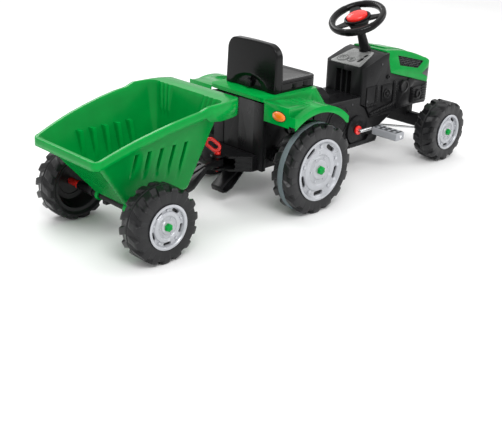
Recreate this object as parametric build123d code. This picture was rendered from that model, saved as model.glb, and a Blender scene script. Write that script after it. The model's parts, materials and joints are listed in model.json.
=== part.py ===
from build123d import *
import math
import os

# A pedal tractor with a hitched tipping trailer. All lengths are millimetres.
# The model is drawn with the rear axle at x = 0, the ground at z = 0, +X forward and +Y left,
# and save() shifts every piece so that the origin is the centre of the whole base.

# ---------------------------------------------------------------- driving dimensions
REAR_TYRE_R = 128.4
FRONT_TYRE_R = 97.9
TRAILER_TYRE_R = 97.9
REAR_RIM_R = 86.0
SMALL_RIM_R = 56.0
REAR_TYRE_WIDTH = 72.0
SMALL_TYRE_WIDTH = 74.0
REAR_RIM_Y = 239.6
FRONT_RIM_Y = 206.0
TRAILER_RIM_Y = 220.0
FRONT_AXLE_X = 671.0
TRAILER_AXLE_X = -526.0
TUB_REAR_X = -667.0
HITCH_X = -169.0
KINGPIN_Y = 159.0
CRANK_X = 347.0
CRANK_Z = 138.0
CRANK_RADIUS = 51.0
CHAIN_PITCH = 12.7
CRANK_TEETH = 16
REAR_TEETH = 12
WALL = 3.0
BODY_HALF = 76.0
REAR_BODY_HALF = 62.0
COVER_HALF = 80.0
DECK_Z = 319.0
WHEEL_CENTRE = Vector(407, 0, 466)
STEERING_TILT = 26.0
STEERING_WHEEL_R = 91.0
STEERING_SHAFT_R = 6.0
REAR_AXLE_R = 6.0
STUB_AXLE_R = 5.0
PITMAN_LENGTH = 24.5
KNUCKLE_ARM = 32.0
KINGPIN_R = 4.0
HINGE_GAP = 0.06

FRONT_END_X = FRONT_AXLE_X + FRONT_TYRE_R
ORIGIN_X = (FRONT_END_X + TUB_REAR_X) / 2

os.makedirs("parts", exist_ok=True)


# ---------------------------------------------------------------- helpers
def save(name, *shapes):
    """Write one node; several shapes stay separate solids in it."""
    moved = [Pos(-ORIGIN_X, 0, 0) * shape for shape in shapes]
    solids = [solid for shape in moved for solid in shape.solids()]
    whole = solids[0] if len(solids) == 1 else Compound(children=solids)
    export_step(whole, f"parts/{name}.step")


def side_prism(points, y_low, y_high, wall=0.0):
    """Extrude a closed side outline (x, z) from y_low to y_high, drawn in by wall."""
    face = make_face(Polyline(*points, close=True))
    if wall:
        face = offset(face, -wall, kind=Kind.INTERSECTION)
    return Pos(0, y_low, 0) * extrude(Plane.XZ * face, amount=-(y_high - y_low))


def curve_prism(outline, y_low, y_high):
    """Extrude a closed side outline made of joined edges."""
    return Pos(0, y_low, 0) * extrude(Plane.XZ * make_face(outline), amount=-(y_high - y_low))


def plan_prism(points, z_low, z_high):
    """Extrude a closed plan outline (x, y) from z_low to z_high."""
    return Pos(0, 0, z_low) * extrude(make_face(Polyline(*points, close=True)), amount=z_high - z_low)


def box_between(x_low, x_high, y_low, y_high, z_low, z_high):
    size = (x_high - x_low, y_high - y_low, z_high - z_low)
    centre = Pos((x_low + x_high) / 2, (y_low + y_high) / 2, (z_low + z_high) / 2)
    return centre * Box(*size)


def across(radius, y_low, y_high, x=0.0, z=0.0):
    """A cylinder along Y."""
    length = y_high - y_low
    return Pos(x, (y_low + y_high) / 2, z) * Rot(90, 0, 0) * Cylinder(radius, length)


def upright(radius, z_low, z_high, x=0.0, y=0.0):
    """A cylinder along Z."""
    return Pos(x, y, (z_low + z_high) / 2) * Cylinder(radius, z_high - z_low)


def turned(points):
    """Revolve a closed (radius, height) outline round the Z axis."""
    return revolve(Plane.XZ * make_face(Polyline(*points, close=True)), axis=Axis.Z)


def outward(side, x, y, z):
    """Place a shape drawn with +Z as outward on the left (+1) or right (-1) side."""
    return Pos(x, side * y, z) * Rot(-90 * side, 0, 0)


def mirrored(shape):
    return mirror(shape, about=Plane.XZ)


def rod(start, end, radius):
    start = Vector(*start)
    line = Vector(*end) - start
    return Plane(origin=start + line * 0.5, z_dir=line) * Cylinder(radius, line.length)


def edges_at_y(shape, y_value):
    """The edges lying wholly in the plane y = y_value."""
    def in_plane(edge):
        return abs(edge.center().Y - y_value) < 0.01 and edge.bounding_box().size.Y < 0.01
    return shape.edges().filter_by(in_plane)


lean = math.radians(STEERING_TILT)
STEERING_AXIS = Vector(-math.sin(lean), 0, math.cos(lean))
STEERING_AHEAD = Vector(math.cos(lean), 0, math.sin(lean))


def steering_point(along):
    """The point on the steering axis this far above the wheel's centre."""
    return WHEEL_CENTRE + STEERING_AXIS * along


# ---------------------------------------------------------------- wheels
DISH = 12.0
LIP_PROUD = 1.5


def tyre_solid(radius, rim_radius, width, bore, inner_depth, opening, groove=0.0):
    """A blow-moulded wheel: hollow, dished on both sides; +Z is outward, 0 is the inner face."""
    outer = [
        (bore, inner_depth), (26, inner_depth), (opening * 0.62, inner_depth - 6),
        (opening * 0.8, 8), (opening, 0), (radius - 9, 0), (radius - 2, 4), (radius, 9),
        (radius, width - 8), (radius - 3, width - 2), (radius - 9, width - 1),
        (rim_radius - 0.5, width - 1), (rim_radius - 6, width - DISH), (bore, width - DISH),
    ]
    profile = make_face(Polyline(*outer, close=True))
    void = offset(profile, -WALL, kind=Kind.INTERSECTION)
    solid = revolve(Plane.XZ * (profile - void), axis=Axis.Z)
    if groove:
        middle = width / 2
        ring = [(radius - 2.5, middle - groove / 2), (radius + 1, middle - groove / 2),
                (radius + 1, middle + groove / 2), (radius - 2.5, middle + groove / 2)]
        solid -= turned(ring)
    return solid


def rim_solid(rim_radius, width, bore):
    """The silver rim insert, filling the outer dish, with five slots, five clips and a ring of bolts."""
    r = rim_radius
    profile = [
        (bore, width - DISH), (r - 6, width - DISH), (r - 0.5, width - 1), (r + 2, width - 1),
        (r + 2, width + 0.5), (r, width + LIP_PROUD), (r - 4, width + LIP_PROUD), (r - 6, width - 1),
        (r * 0.87, width - 6), (r * 0.72, width - 7), (r * 0.69, width - 4.5), (r * 0.52, width - 4),
        (r * 0.49, width - 6.5), (r * 0.33, width - 6.5), (r * 0.30, width - 4), (bore, width - 4),
    ]
    solid = turned(profile)
    for index in range(5):
        turn = Rot(0, 0, 72 * index + 54)
        slot = Pos(r * 0.79, 0, width - DISH / 2) * Rot(0, 0, 90)
        solid -= turn * slot * extrude(SlotOverall(r * 0.43, r * 0.14), amount=DISH * 2, both=True)
        clip = Rot(0, 0, 36) * Pos(r * 0.79, 0, width - 5.5)
        solid += turn * clip * Cylinder(r * 0.055, 5)
    for index in range(6):
        stud = Rot(0, 0, 60 * index) * Pos(r * 0.41, 0, width - 5.5) * Cylinder(r * 0.028, 2)
        solid += stud
    return solid


def cap_solid(width, shaft_radius, shaft_end):
    """The green hub cap: a hexagonal dome that clips over the end of the axle."""
    dome = Pos(0, 0, width - 4) * extrude(RegularPolygon(11, 6), amount=9)
    dome = fillet(dome.edges().group_by(Axis.Z)[-1], 3)
    socket = Pos(0, 0, (shaft_end + width - 10) / 2) * Cylinder(shaft_radius, shaft_end - width + 10)
    return dome - socket


def wheel_set(side, radius, rim_radius, width, x, rim_y, bore, inner_depth, opening, groove=0.0):
    """Tyre, rim and cap of one wheel, standing on the ground."""
    place = outward(side, x, rim_y - width, radius)
    tyre = tyre_solid(radius, rim_radius, width, bore + 0.05, inner_depth, opening, groove)
    rim = rim_solid(rim_radius, width, bore + 0.05)
    cap = cap_solid(width, bore, width + 1)
    return place * tyre, place * rim, place * cap


SIDES = {"left": 1, "right": -1}

BAND_WIDTH = 18.0
rear_caps = []
bands = []
for name, side in SIDES.items():
    tyre, rim, cap = wheel_set(side, REAR_TYRE_R, REAR_RIM_R, REAR_TYRE_WIDTH, 0, REAR_RIM_Y,
                               REAR_AXLE_R, 26, 104, BAND_WIDTH)
    save(f"rear_tyre_{name}", tyre)
    save(f"rear_rim_{name}", rim)
    rear_caps.append(cap)
    middle = REAR_TYRE_WIDTH / 2
    band = turned([(REAR_TYRE_R - 2.5, middle - BAND_WIDTH / 2), (REAR_TYRE_R, middle - BAND_WIDTH / 2),
                   (REAR_TYRE_R, middle + BAND_WIDTH / 2), (REAR_TYRE_R - 2.5, middle + BAND_WIDTH / 2)])
    bands.append(outward(side, 0, REAR_RIM_Y - REAR_TYRE_WIDTH, REAR_TYRE_R) * band)
save("rear_hub_caps", *rear_caps)
save("tread_bands", *bands)

SMALL_WHEELS = {
    "front": (FRONT_TYRE_R, FRONT_AXLE_X, FRONT_RIM_Y),
    "trailer": (TRAILER_TYRE_R, TRAILER_AXLE_X, TRAILER_RIM_Y),
}
STUB_RUN = STUB_AXLE_R + HINGE_GAP
for axle, (radius, axle_x, rim_y) in SMALL_WHEELS.items():
    for name, side in SIDES.items():
        tyre, rim, cap = wheel_set(side, radius, SMALL_RIM_R, SMALL_TYRE_WIDTH, axle_x, rim_y,
                                   STUB_RUN, 50, 84)
        save(f"{axle}_tyre_{name}", tyre)
        save(f"{axle}_rim_{name}", rim)
        save(f"{axle}_cap_{name}", cap)

# ---------------------------------------------------------------- rear axle and drive
axle_end = REAR_RIM_Y - 4
rear_bore = REAR_AXLE_R + HINGE_GAP
save("rear_axle_rod", across(REAR_AXLE_R, -axle_end, axle_end, 0, REAR_TYRE_R))


def pitch_radius(teeth):
    return CHAIN_PITCH / 2 / math.sin(math.pi / teeth)


def sprocket(teeth, bore, x, z, hub_radius):
    """A toothed wheel across the middle plane, its teeth short of the chain's band."""
    tip = pitch_radius(teeth) - 1.6
    disc = Cylinder(tip, 4)
    for index in range(teeth):
        gap = Rot(0, 0, 360 / teeth * index) * Pos(tip + 1.5, 0, 0) * Cylinder(3.6, 6)
        disc -= gap
    disc += Cylinder(hub_radius, 14)
    disc -= Cylinder(bore, 20)
    return Pos(x, 0, z) * Rot(90, 0, 0) * disc


save("rear_sprocket", sprocket(REAR_TEETH, REAR_AXLE_R, 0, REAR_TYRE_R, 11))
save("crank_sprocket", sprocket(CRANK_TEETH, 5.5, CRANK_X, CRANK_Z, 12))


def chain_loop(rear_radius, crank_radius):
    """The area inside a belt round the two pitch circles."""
    span = math.hypot(CRANK_X, CRANK_Z - REAR_TYRE_R)
    slope = math.degrees(math.atan2(CRANK_Z - REAR_TYRE_R, CRANK_X))
    lean = math.asin((crank_radius - rear_radius) / span)
    top = [(-rear_radius * math.sin(lean), rear_radius * math.cos(lean)),
           (span - crank_radius * math.sin(lean), crank_radius * math.cos(lean))]
    bottom = [(x, -y) for x, y in reversed(top)]
    area = make_face(Polyline(*(top + bottom), close=True))
    area += Circle(rear_radius)
    area += Pos(span, 0) * Circle(crank_radius)
    return Plane.XZ.rotated((0, -slope, 0)) * area


CHAIN_WIDTH = 7.0
rear_pitch = pitch_radius(REAR_TEETH)
crank_pitch = pitch_radius(CRANK_TEETH)
chain_outer = extrude(chain_loop(rear_pitch + 2.5, crank_pitch + 2.5), amount=CHAIN_WIDTH / 2, both=True)
chain_inner = extrude(chain_loop(rear_pitch - 1.0, crank_pitch - 1.0), amount=CHAIN_WIDTH, both=True)
save("drive_chain", Pos(0, 0, REAR_TYRE_R) * (chain_outer - chain_inner))

CRANK_ROD_R = 5.5
CRANK_ARM_Y = 97.0
PEDAL_LENGTH = 95.0
PEDAL_INNER_Y = 115.0
spindle_end = PEDAL_INNER_Y + PEDAL_LENGTH + 2
crankshaft = across(CRANK_ROD_R, -CRANK_ARM_Y, CRANK_ARM_Y, CRANK_X, CRANK_Z)
for side in (1, -1):
    pin_x = CRANK_X - side * CRANK_RADIUS
    arm_y = side * CRANK_ARM_Y
    crankshaft += rod((CRANK_X, arm_y, CRANK_Z), (pin_x, arm_y, CRANK_Z), CRANK_ROD_R)
    crankshaft += across(CRANK_ROD_R, *sorted((arm_y, side * spindle_end)), pin_x, CRANK_Z)
    for bend_x in (CRANK_X, pin_x):
        crankshaft += Pos(bend_x, arm_y, CRANK_Z) * Sphere(CRANK_ROD_R)
save("crankshaft", crankshaft)


def pedal(side):
    """A grey block pedal with anti-slip bars, free to turn on its spindle."""
    pin_x = CRANK_X - side * CRANK_RADIUS
    block = Box(40, PEDAL_LENGTH, 24)
    block = fillet(block.edges().filter_by(Axis.Y), 5)
    block = fillet(block.edges().filter_by(Axis.X), 2)
    for face in (1, -1):
        for column in (-1, 1):
            for row in range(4):
                bar_y = (row - 1.5) * 21
                block += Pos(column * 9.5, bar_y, face * 12) * Box(11, 9, 3)
    block -= Rot(90, 0, 0) * Cylinder(CRANK_ROD_R + HINGE_GAP, PEDAL_LENGTH * 2)
    return Pos(pin_x, side * (PEDAL_INNER_Y + PEDAL_LENGTH / 2), CRANK_Z) * block


for name, side in SIDES.items():
    save(f"pedal_{name}", pedal(side))

# ---------------------------------------------------------------- chassis halves
CHASSIS_OUTLINE = [
    (-90, 94), (190, 92), (200, 85), (398, 85), (443, 110), (452, 121), (516, 152), (520, 166),
    (409, 166), (384, 203), (361, 216), (361, 240), (190, 243), (150, 250), (112, 268), (60, 300), (-90, 300),
]
POST_X = 118.0
WIDE_OUTLINE = [
    (POST_X, 94), (190, 92), (200, 85), (398, 85), (443, 110), (452, 121), (516, 152), (520, 166),
    (409, 166), (384, 203), (361, 216), (361, 240), (190, 243), (150, 250), (POST_X, 264),
]
DISC_X = 257.0
DISC_Z = 174.0
CRANK_HOUSING_R = 46.0


def chassis_half():
    """The left half of the lower body: a narrow box over the rear axle and a wide chain case."""
    narrow_outer = side_prism(CHASSIS_OUTLINE, 0, REAR_BODY_HALF)
    wide_outer = side_prism(WIDE_OUTLINE, 0, BODY_HALF)
    wide_outer = fillet(edges_at_y(wide_outer, BODY_HALF), 5)
    narrow_inner = side_prism(CHASSIS_OUTLINE, -1, REAR_BODY_HALF - WALL, WALL)
    wide_inner = side_prism(WIDE_OUTLINE, -1, BODY_HALF - WALL, WALL)
    wide_inner = fillet(edges_at_y(wide_inner, BODY_HALF - WALL), 2)
    half = narrow_outer + wide_outer
    strap = box_between(142, 170, 0, BODY_HALF + 4, 92, 247)
    half += strap - box_between(100, 200, -1, BODY_HALF - 1, 80, 260)
    half += box_between(-92, -78, REAR_BODY_HALF - 1, 100, 105, 300)
    half += across(CRANK_HOUSING_R, BODY_HALF - 2, BODY_HALF + 6, CRANK_X, CRANK_Z)
    sill = [(288, 85), (440, 85), (446, 98), (440, 112), (404, 112), (390, 98), (288, 98)]
    half += side_prism(sill, BODY_HALF - 2, BODY_HALF + 9)
    half -= narrow_inner
    half -= wide_inner
    ring = Cylinder(44, 3) - Cylinder(40, 5)
    half += outward(1, DISC_X, BODY_HALF + 0.5, DISC_Z) * ring
    ledge = Cylinder(56, 2) - Cylinder(52, 5)
    half += outward(1, DISC_X, BODY_HALF + 0.5, DISC_Z) * ledge & box_between(190, 300, 60, 90, 100, 236)
    boss = Cylinder(26, 8) - Pos(0, 0, 4) * (Cylinder(20, 6) - Cylinder(12, 8))
    half += outward(1, 66, REAR_BODY_HALF + 3, 200) * boss
    half += outward(1, 0, REAR_BODY_HALF + 4, REAR_TYRE_R) * Cylinder(24, 10)
    console = side_prism([(186, 236), (262, 236), (262, 252), (226, 282), (186, 282)], 0, 30)
    console -= side_prism([(186, 230), (262, 230), (262, 252), (226, 282), (186, 282)], -1, 27, WALL)
    half += console - box_between(180, 270, -1, 27, 230, 240)
    half -= outward(1, 0, 0, REAR_TYRE_R) * Cylinder(REAR_AXLE_R + 5, 400)
    half -= outward(1, CRANK_X, 0, CRANK_Z) * Cylinder(CRANK_ROD_R + 5, 400)
    return half


left_chassis = chassis_half()
save("chassis_left", left_chassis)
save("chassis_right", mirrored(left_chassis))

bushes = []
bearings = []
for side in (1, -1):
    bush = Cylinder(REAR_AXLE_R + 5, 30) + Pos(0, 0, 17) * Cylinder(17, 8)
    bush -= Cylinder(rear_bore, 100)
    bushes.append(outward(side, 0, REAR_BODY_HALF - 4, REAR_TYRE_R) * bush)
    collar = Cylinder(14, 7)
    collar = fillet(collar.edges().group_by(Axis.Z)[-1], 2)
    bearing = Cylinder(CRANK_ROD_R + 5, 16) + Pos(0, 0, 8) * collar
    bearing -= Cylinder(CRANK_ROD_R + HINGE_GAP, 60)
    bearings.append(outward(side, CRANK_X, BODY_HALF + 1.5, CRANK_Z) * bearing)
save("rear_axle_bushes", *bushes)
save("crank_bearings", *bearings)

# ---------------------------------------------------------------- engine cover halves
COVER_OUTLINE = [
    (361, 217), (384, 204), (409, 167), (524, 167), (612, 172), (699, 168), (726, 164),
    (724, 243), (700, 236), (497, 295), (482, 342), (482, 362), (457, 358), (361, 328),
]
NOSE_X = 726.0


def plan_block(rear_x, front_x, half, z_low, z_high, rear_round, front_round):
    """A block rounded at its rear and front upright corners."""
    block = box_between(rear_x, front_x, -half, half, z_low, z_high)
    upright_edges = block.edges().filter_by(Axis.Z).sort_by(Axis.X)
    block = fillet(upright_edges[:2], rear_round)
    upright_edges = block.edges().filter_by(Axis.Z).sort_by(Axis.X)
    return fillet(upright_edges[-2:], front_round)


HOSE_RING_PITCH = 7


def hose(points, radius, y):
    """A ribbed pipe moulded on the side: straight runs with rings."""
    shape = None
    for start, end in zip(points, points[1:]):
        run = rod((start[0], y, start[1]), (end[0], y, end[1]), radius)
        shape = run if shape is None else shape + run
        length = math.dist(start, end)
        count = int(length // HOSE_RING_PITCH)
        for index in range(1, count):
            share = index / count
            ring_x = start[0] + (end[0] - start[0]) * share
            ring_z = start[1] + (end[1] - start[1]) * share
            step_x = (end[0] - start[0]) / length * 1.6
            step_z = (end[1] - start[1]) / length * 1.6
            ring_start = (ring_x - step_x, y, ring_z - step_z)
            ring_end = (ring_x + step_x, y, ring_z + step_z)
            shape += rod(ring_start, ring_end, radius + 1.5)
        shape += Pos(start[0], y, start[1]) * Sphere(radius)
    shape += Pos(points[-1][0], y, points[-1][1]) * Sphere(radius)
    return shape


def side_disc(x, z, radius, y_low, y_high):
    return across(radius, y_low, y_high, x, z)


def engine_relief():
    """The raised mouldings on the left side of the engine cover."""
    y = COVER_HALF
    relief = box_between(380, 421, y - 2, y + 3, 206, 266)
    relief += hose([(430, 262), (430, 208), (386, 206)], 6, y)
    relief += hose([(522, 262), (522, 193), (412, 178)], 7, y)
    relief += side_prism([(455, 262), (500, 262), (507, 250), (507, 204), (458, 208)], y - 2, y + 4)
    relief += side_disc(479, 233, 17, y, y + 7) - side_disc(479, 233, 12, y + 5, y + 9)
    relief += side_disc(479, 233, 6, y, y + 8)
    relief += side_prism([(536, 252), (606, 240), (606, 178), (538, 174)], y - 2, y + 2)
    relief += side_disc(569, 243, 21, y, y + 8) - side_disc(569, 243, 15, y + 6, y + 10)
    relief += side_disc(606, 252, 17, y, y + 5)
    relief += side_disc(484, 286, 7, y, y + 4) - side_disc(484, 286, 3.5, y + 1, y + 6)
    relief += side_prism([(614, 229), (692, 232), (696, 176), (616, 180)], y - 2, y + 3)
    relief += side_disc(650, 205, 15, y, y + 8) - side_disc(650, 205, 9, y + 6, y + 10)
    for row in range(6):
        fin_z = 183 + row * 8.5
        relief += box_between(618, 632, y, y + 6, fin_z, fin_z + 4)
        relief += box_between(670, 690, y, y + 6, fin_z, fin_z + 4)
    return relief


def engine_half():
    """The left half of the upper body, open to the hood at the top and joined at the middle."""
    side = side_prism(COVER_OUTLINE, 0, COVER_HALF + 1)
    half = side & plan_block(361, NOSE_X, COVER_HALF, 150, 380, 18, 34)
    inner = side_prism(COVER_OUTLINE, -1, COVER_HALF, WALL)
    inner &= plan_block(361 + WALL, NOSE_X - WALL, COVER_HALF - WALL, 150, 380, 15, 31)
    half += engine_relief() & side_prism(COVER_OUTLINE, 0, 120)
    for row in range(8):
        rib_z = 174 + row * 8
        rib = side_prism([(640, rib_z), (800, rib_z), (800, rib_z + 2.6), (640, rib_z + 2.6)], 0, 100)
        rib &= plan_block(361, NOSE_X + 1.4, COVER_HALF + 1.4, 150, 380, 18, 34)
        half += rib & box_between(692, 740, 0, 100, 150, 240)
    half -= inner
    shaft_exit = plan_prism([(538, -16), (574, -16), (574, 16), (538, 16)], 150, 178)
    half -= shaft_exit
    half -= Plane(origin=steering_point(-170), z_dir=STEERING_AXIS) * Cylinder(STEERING_SHAFT_R + 4, 170)
    knee_pocket = box_between(355, 374, -1, 30, 238, 312)
    half += box_between(362, 377, 0, 33, 235, 315) - box_between(340, 400, -2, 100, 100, 234)
    half -= knee_pocket
    half += box_between(363, 375, 8, 13, 236, 314)
    return half


left_cover = engine_half()
save("engine_cover_left", left_cover)
save("engine_cover_right", mirrored(left_cover))

# ---------------------------------------------------------------- hood
HOOD_HALF = 81.0
HOOD_FRONT_X = 727.0


def hood_line(drop):
    """The hood's side outline: a gently arched top over the stepped cut line of the cover."""
    top = ThreePointArc((484, 366 - drop), (600, 349 - drop), (676, 323 - drop))
    nose = ThreePointArc((676, 323 - drop), (714, 299 - drop), (HOOD_FRONT_X - drop, 262))
    front = Line((HOOD_FRONT_X - drop, 262), (HOOD_FRONT_X - drop, 244))
    return top, nose, front


def hood_body(drop, half, front_round):
    """The hood as a full block; drop draws the top and nose in for the inside."""
    front_x = HOOD_FRONT_X - drop
    if drop:
        rest = Polyline((front_x, 244), (front_x, 200), (480 + drop, 200), (484, 366 - drop))
    else:
        rest = Polyline((front_x, 244), (700, 237.2), (497.5, 296), (482.5, 343), (484, 366))
    body = curve_prism([*hood_line(drop), rest], -half, half)
    body &= plan_block(470, front_x, half, 190, 400, 1, front_round)
    shoulder = [(half + 1, 236), (half + 1, 300), (half - 9, 338),
                (half - 22, 400), (half + 30, 400), (half + 30, 236)]
    wedge = Pos(450, 0, 0) * extrude(Plane.YZ * make_face(Polyline(*shoulder, close=True)), amount=400)
    return body - wedge - mirrored(wedge)


GRILLE = [(541, 344), (546, 313), (640, 292), (673, 311)]
HEADLIGHT = [(668, 270), (700, 286), (760, 284), (760, 250), (712, 249)]
RIDGE_RISE = 3.0

hood_outer = hood_body(0, HOOD_HALF, 34)
hood_inner = hood_body(WALL, HOOD_HALF - WALL, 31)
ridge = plan_prism([(512, -37), (690, -22), (690, 22), (512, 37)], 300, 400)
ridge_rest = Polyline((HOOD_FRONT_X + RIDGE_RISE, 244), (480, 244), (484, 366 + RIDGE_RISE))
ridge &= curve_prism([*hood_line(-RIDGE_RISE), ridge_rest], -60, 60)
grille_window = side_prism(GRILLE, -120, 120) - box_between(400, 800, -62, 62, 200, 400)
headlight_window = side_prism(HEADLIGHT, -120, 120) - box_between(600, 800, -40, 40, 200, 400)
save("hood", hood_outer + ridge - hood_inner - grille_window - headlight_window)
save("hood_grilles", (hood_outer & grille_window) - hood_inner)
save("headlights", (hood_outer & headlight_window) - hood_inner)

# ---------------------------------------------------------------- dashboard and steering column
DASH_REAR = Vector(361, 0, 328)
DASH_SLOPE = math.atan2(30, 96)
dash_plane = Plane(origin=DASH_REAR, x_dir=(math.cos(DASH_SLOPE), 0, math.sin(DASH_SLOPE)),
                   z_dir=(-math.sin(DASH_SLOPE), 0, math.cos(DASH_SLOPE)))
COLUMN_FOOT = -122.0
COLUMN_TOP = -52.0
FLANGE_R = 19.0
COLUMN_FLUTES = 10


def along_column(shape, along):
    """Place a shape drawn with +Z up the steering axis and +X ahead."""
    return Plane(origin=steering_point(along), x_dir=STEERING_AHEAD, z_dir=STEERING_AXIS) * shape


plate = make_face(Polyline((2, -60), (80, -46), (98, -40), (98, 40), (80, 46), (2, 60), close=True))
plate = extrude(dash_plane * fillet(plate.vertices(), 6), amount=3)
plate += dash_plane * Pos(30, 30, 3) * (Cylinder(15, 3) - Cylinder(12, 5))
plate += dash_plane * Pos(30, -4, 3) * (Cylinder(9, 3) - Cylinder(7, 5))
plate -= dash_plane * Pos(38, -34, 3) * extrude(SlotOverall(30, 11), amount=1.5, both=True)
plate -= dash_plane * Pos(66, -32, 3) * extrude(SlotOverall(20, 9), amount=1.5, both=True)
plate -= along_column(Cylinder(FLANGE_R + 0.5, 60), COLUMN_FOOT + 5)
save("dashboard", plate)

column_length = COLUMN_TOP - COLUMN_FOOT
column = along_column(Cone(17, 13, column_length, align=(Align.CENTER, Align.CENTER, Align.MIN)), COLUMN_FOOT)
flute_length = column_length - 14
flute = Pos(17.5, 0, 12) * Rot(0, -3.3, 0) * Pos(0, 0, flute_length / 2) * Box(3, 4, flute_length)
for index in range(COLUMN_FLUTES):
    column -= along_column(Rot(0, 0, 360 / COLUMN_FLUTES * index) * flute, COLUMN_FOOT)
column += along_column(Cylinder(FLANGE_R, 6), COLUMN_FOOT + 8)
column -= along_column(Cylinder(STEERING_SHAFT_R + HINGE_GAP, 300), COLUMN_FOOT)
cover_top = [(340, 321.4), (361, 328), (457, 358), (482, 362), (500, 362), (500, 280), (340, 280)]
column -= side_prism(cover_top, -60, 60)
save("steering_column", column)

# ---------------------------------------------------------------- steering wheel, shaft and horn
SHAFT_FOOT_Z = 125.0
shaft_foot = -(WHEEL_CENTRE.Z - SHAFT_FOOT_Z) / math.cos(lean)
shaft = rod(steering_point(shaft_foot), steering_point(-12), STEERING_SHAFT_R)
foot = steering_point(shaft_foot + 3)
pitman_tip = foot - STEERING_AHEAD * PITMAN_LENGTH
arm = Box(PITMAN_LENGTH, 14, 6)
arm += Pos(-PITMAN_LENGTH / 2, 0, 0) * Cylinder(7, 6)
arm += Pos(PITMAN_LENGTH / 2, 0, 0) * Cylinder(9, 6)
shaft += Plane(origin=(foot + pitman_tip) * 0.5, x_dir=STEERING_AHEAD, z_dir=STEERING_AXIS) * arm
PITMAN_PIN_R = 3.0
shaft += upright(PITMAN_PIN_R, 92, pitman_tip.Z, pitman_tip.X, 0)
save("steering_shaft", shaft)

RIM_TUBE_R = 9.5
wheel = Torus(STEERING_WHEEL_R - RIM_TUBE_R, RIM_TUBE_R)
WHEEL_TURN = 46.0
SPOKES = {0: 30, 107: 17, -107: 17}
reach = STEERING_WHEEL_R - RIM_TUBE_R
for angle, width in SPOKES.items():
    spoke = Pos(reach / 2, 0, -2) * Box(reach, width, 7)
    wheel += Rot(0, 0, angle) * spoke
hub = extrude(Ellipse(33, 41), amount=12)
wheel += Pos(0, 0, -8) * hub
button_well = extrude(Ellipse(27, 34), amount=30)
wheel -= Pos(0, 0, -3) * button_well
wheel -= Pos(0, 0, -20) * Cylinder(STEERING_SHAFT_R, 24)
save("steering_wheel", along_column(Rot(0, 0, WHEEL_TURN) * wheel, 0))

housing_form = [Pos(0, 0, -50) * RectangleRounded(34, 36, 6), Pos(0, 0, -8) * RectangleRounded(54, 66, 12)]
housing = loft(housing_form)
housing_void = [Pos(0, 0, -47) * RectangleRounded(28, 30, 4), Pos(0, 0, -7.9) * RectangleRounded(48, 60, 10)]
housing -= loft(housing_void)
housing += Pos(0, 0, -29) * Cylinder(STEERING_SHAFT_R + 3, 42)
housing -= Pos(0, 0, -30) * Cylinder(STEERING_SHAFT_R, 60)
save("horn_housing", along_column(Rot(0, 0, WHEEL_TURN) * housing, 0))

button = extrude(Ellipse(26, 33), amount=7)
dome = Pos(0, 0, 7) * scale(Sphere(1), by=(26, 33, 11))
button += dome & Pos(0, 0, 17) * Box(80, 80, 20)
button -= Pos(0, 0, -1) * extrude(Ellipse(22, 29), amount=6)
save("horn_button", along_column(Rot(0, 0, WHEEL_TURN) * button, 1.5))

SPRING_R = 9.0
coil_path = Helix(pitch=2.4, height=7.2, radius=SPRING_R)
coil = sweep(Plane(origin=coil_path @ 0, z_dir=coil_path % 0) * Circle(0.7), path=coil_path)
save("horn_spring", along_column(coil, -2.1))

# ---------------------------------------------------------------- front axle
BEAM_END_Y = 140.0
beam = box_between(655, 688, -BEAM_END_Y, BEAM_END_Y, 90, 132)
beam = fillet(beam.edges().filter_by(Axis.Y), 9)
pedestal = box_between(652, 690, -42, 42, 120, 180) - side_prism(COVER_OUTLINE, -80, 80)
beam += pedestal
for side in (1, -1):
    for low, high in ((68, 78), (120, 130)):
        tongue = box_between(661, 681, *sorted((side * (BEAM_END_Y - 20), side * KINGPIN_Y)), low, high)
        beam += tongue + upright(11, low, high, FRONT_AXLE_X, side * KINGPIN_Y)
    beam += box_between(661, 681, *sorted((side * (BEAM_END_Y - 22), side * BEAM_END_Y)), 68, 100)
    beam -= upright(KINGPIN_R + HINGE_GAP, 60, 140, FRONT_AXLE_X, side * KINGPIN_Y)
save("front_axle_beam", beam)

ARM_X = FRONT_AXLE_X - KNUCKLE_ARM
LINK_PIN_R = 3.0
INNER_EYE_R = 9.5
for name, side in SIDES.items():
    pin_y = side * KINGPIN_Y
    knuckle = upright(9, 79, 119, FRONT_AXLE_X, pin_y)
    knuckle += upright(KINGPIN_R, 66, 132, FRONT_AXLE_X, pin_y)
    stub_end = side * (FRONT_RIM_Y + 0.5)
    knuckle += across(STUB_AXLE_R, *sorted((pin_y, stub_end)), FRONT_AXLE_X, FRONT_TYRE_R)
    knuckle += across(9, *sorted((pin_y, side * 181)), FRONT_AXLE_X, FRONT_TYRE_R)
    knuckle += box_between(ARM_X, FRONT_AXLE_X, pin_y - 6, pin_y + 6, 92, 99)
    knuckle += upright(6, 92, 99, ARM_X, pin_y)
    knuckle += upright(LINK_PIN_R, 93, 109, ARM_X, pin_y)
    save(f"knuckle_{name}", knuckle)

    inner_z = 104 if side > 0 else 98
    outer_eye = upright(7, 102, 107, ARM_X, pin_y)
    inner_eye = upright(INNER_EYE_R + 3.5, inner_z - 2, inner_z + 2, pitman_tip.X, 0)
    start = Vector(ARM_X, pin_y, 104.5)
    end = Vector(pitman_tip.X, 0, inner_z)
    direction = (end - start).normalized()
    link = rod(start + direction * 4, end - direction * (INNER_EYE_R + 1), 3.5)
    link += outer_eye + inner_eye
    link -= upright(LINK_PIN_R + HINGE_GAP, 90, 120, ARM_X, pin_y)
    link -= upright(INNER_EYE_R, 80, 120, pitman_tip.X, 0)
    save(f"steering_link_{name}", link)

# ---------------------------------------------------------------- saddle with fenders
ARCH_R = 178.0
ARCH_FRONT_X = 122.0
PANEL_X = -97.0
FENDER_Y = 224.0


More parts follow.
